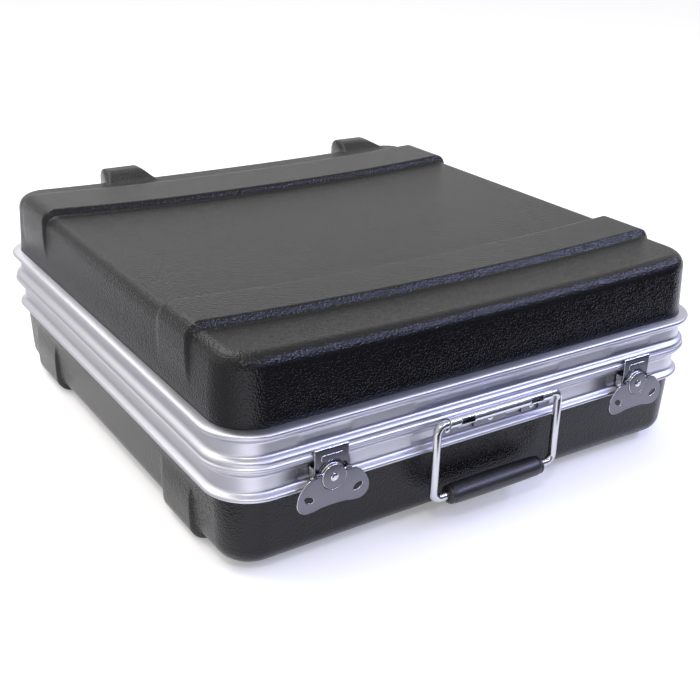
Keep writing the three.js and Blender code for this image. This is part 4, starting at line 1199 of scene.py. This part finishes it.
# ---------------------------------------------------------------- inside: pads, boards and rack rails
def cushion(half_u, half_v, corner, low, high, edge, crown, pinch, waves):
    """A foam block as (u, v, height): soft-edged, crowned on top and slack between its rounded corners."""
    a, b = half_u - corner, half_v - corner
    us = stops(-a, a, max(half_u / 26, 4), 4, [])
    vs = stops(-b, b, max(half_v / 26, 4), 4, [])
    cx, cy, dx, dy = plan(us, vs).T
    along = np.where(np.abs(dy) > 0.9, cx / max(a, 1), cy / max(b, 1))
    flat_side = (np.abs(dx) > 0.99) | (np.abs(dy) > 0.99)
    slack = pinch * np.where(flat_side, 1 - np.abs(along) ** 2.5, 0)
    turns = np.radians(np.linspace(0, 90, 7))
    path = [(-edge * (1 - math.sin(t)), low + edge * (1 - math.cos(t)), 0.0) for t in turns]
    path += [(0.0, low + (high - low) * f, 4 * f * (1 - f)) for f in (0.35, 0.5, 0.65)]
    path += [(-edge * (1 - math.cos(t)), high - edge * (1 - math.sin(t)), 0.0) for t in turns]
    rings = []
    for inset, z, belly in path:
        reach = corner + inset - slack * (1 - 0.45 * belly)
        rings.append(np.stack([cx + dx * reach, cy + dy * reach, np.full(len(cx), z)], 1))
    rows, columns, count = panel_rows(vs), len(us), len(cx)

    def inside(ring):
        share = ((us - us[0]) / (us[-1] - us[0]))[1:-1, None]
        ends = [(ring[count - r], ring[columns - 1 + r]) for r in range(1, rows)]
        return np.vstack([left + (right - left) * share for left, right in ends])

    top, bottom = inside(rings[-1]), inside(rings[0])
    u, v = top[:, 0] / half_u, top[:, 1] / half_v
    dome = (1 - np.clip(np.abs(u), 0, 1) ** 4) * (1 - np.clip(np.abs(v), 0, 1) ** 4)
    ripple = sum(size * np.sin(fu * u + fv * v + shift) for size, fu, fv, shift in waves)
    top[:, 2] += dome * (crown + ripple)
    points = np.vstack(rings + [top, bottom])
    faces = grid_faces(len(rings), count, wrap_columns=True)
    ring_total = len(rings) * count
    faces += panel_faces(ring_total - count, ring_total, count, rows, columns)
    faces += [f[::-1] for f in panel_faces(0, ring_total + len(top), count, rows, columns)]
    return points, faces


FOAM_WAVES = [(0.30, 9.0, 4.0, 0.4), (0.22, -5.0, 11.0, 1.9), (0.16, 17.0, 7.0, 3.1), (0.12, 6.0, -21.0, 5.0)]


def add_pad(name, body, part):
    pad = make(f"{name}_foam", *part, FOAM, 60)
    settle(pad, body, "foam", name)


def add_pads():
    add_pad("floor_pad", "case", cushion(250.0, 256.0, 30.0, -100.6, -84.2, 6.0, 0.7, 3.0, FOAM_WAVES))
    ceiling = cushion(252.0, 255.0, 30.0, -90.5, -74.4, 8.0, 0.9, 4.0, FOAM_WAVES)
    add_pad("lid_pad", "lid", mirrored(ceiling, z=-1))
    for label, side in SIDES:
        points, faces = cushion(237.0, 33.5, 6.0, 0.0, 12.6, 3.0, 0.5, 1.5, [])
        upright = np.stack([side * (255.6 + points[:, 2]), points[:, 0], points[:, 1] - 48.0], 1)
        add_pad(f"side_pad_{label}", "case", (upright, faces))


RACK_UNIT = 44.45
UNITS = 11
HOLE_STEPS = (6.35, 22.225, 38.1)
HOLE_X = 232.6
SCREW_Y = 180.0
SCREW_Z = -32.0


def rack_rail():
    """An angle of folded steel: square nut holes in its top, screw holes in its side."""
    section = [(225.0, -13.3), (225.0, -11.5), *arc(242.3, -14.9, 3.4, 90, 0, 7), (245.7, -42.0),
               (243.9, -42.0), *arc(242.3, -14.9, 1.6, 0, 90, 5)]
    half = RACK_UNIT * UNITS / 2
    points, faces = along_x(section, [-half, half])
    rail = make("rack_rail", points[:, [1, 0, 2]], faces, RAIL)
    square, quads = plate(rounded_box_outline(-4.75, 4.75, -4.75, 4.75, 0.7, 3), [], -3, 3, 0.01)
    holes = []
    for unit in range(UNITS):
        for step in HOLE_STEPS:
            y = -half + unit * RACK_UNIT + step
            holes.append((square[:, [0, 2, 1]] + (HOLE_X, y, -12.4), quads))
    cutter = make("nut_holes", *gather(holes), RAIL)
    drills = [make("drill", *rod(2.6, 240, 248, y, SCREW_Z, 24), RAIL) for y in (-SCREW_Y, SCREW_Y)]
    return soften(shaded(combined(rail, "DIFFERENCE", cutter, *drills), 40), 0.25, 2, 50)


def side_board():
    board = make("side_board", *block(246.0, 255.0, -250.0, 250.0, -82.7, -12.0), PLY)
    return soften(board, 0.9, 3, 40)


def rail_screw():
    """A pan-head screw whose head looks inwards, with a cross recess."""
    profile = [(-6.5, 0), (-5.5, 1.9), (2.2, 1.9), (2.2, 4.0), (2.4, 4.2), (2.9, 4.2), (3.6, 3.9), (4.2, 3.2),
               (4.55, 2.2), (4.6, 0)]
    screw = make("rail_screw", *mirrored(lathe(profile), x=-1), SCREW_METAL)
    for half_y, half_z in ((2.4, 0.45), (0.45, 2.4)):
        slot = make("slot", *block(-5.0, -2.9, -half_y, half_y, -half_z, half_z), SCREW_METAL)
        combined(screw, "DIFFERENCE", slot)
    return shaded(screw, 40)


def add_rack():
    rail, board, screw = rack_rail(), side_board(), rail_screw()
    for label, side in SIDES:
        turn = side < 0
        obj = copy_at(rail, f"rack_rail_{label}_piece", half_turn=turn)
        settle(obj, "case", "rail_paint", f"rack_rail_{label}")
        obj = copy_at(board, f"side_board_{label}_ply", half_turn=turn)
        settle(obj, "case", "plywood", f"side_board_{label}")
        for i, y in enumerate((-SCREW_Y, SCREW_Y)):
            node = f"rail_screw_{label}_{i + 1}"
            obj = copy_at(screw, f"{node}_piece", side * 245.4, y, SCREW_Z, half_turn=turn)
            settle(obj, "case", "screw_zinc", node)
    discard((rail, board, screw))


add_rivets()
add_latches()
handle_plate()
add_bail()
add_grip()
add_hinges()
add_splices()
add_pads()
add_rack()
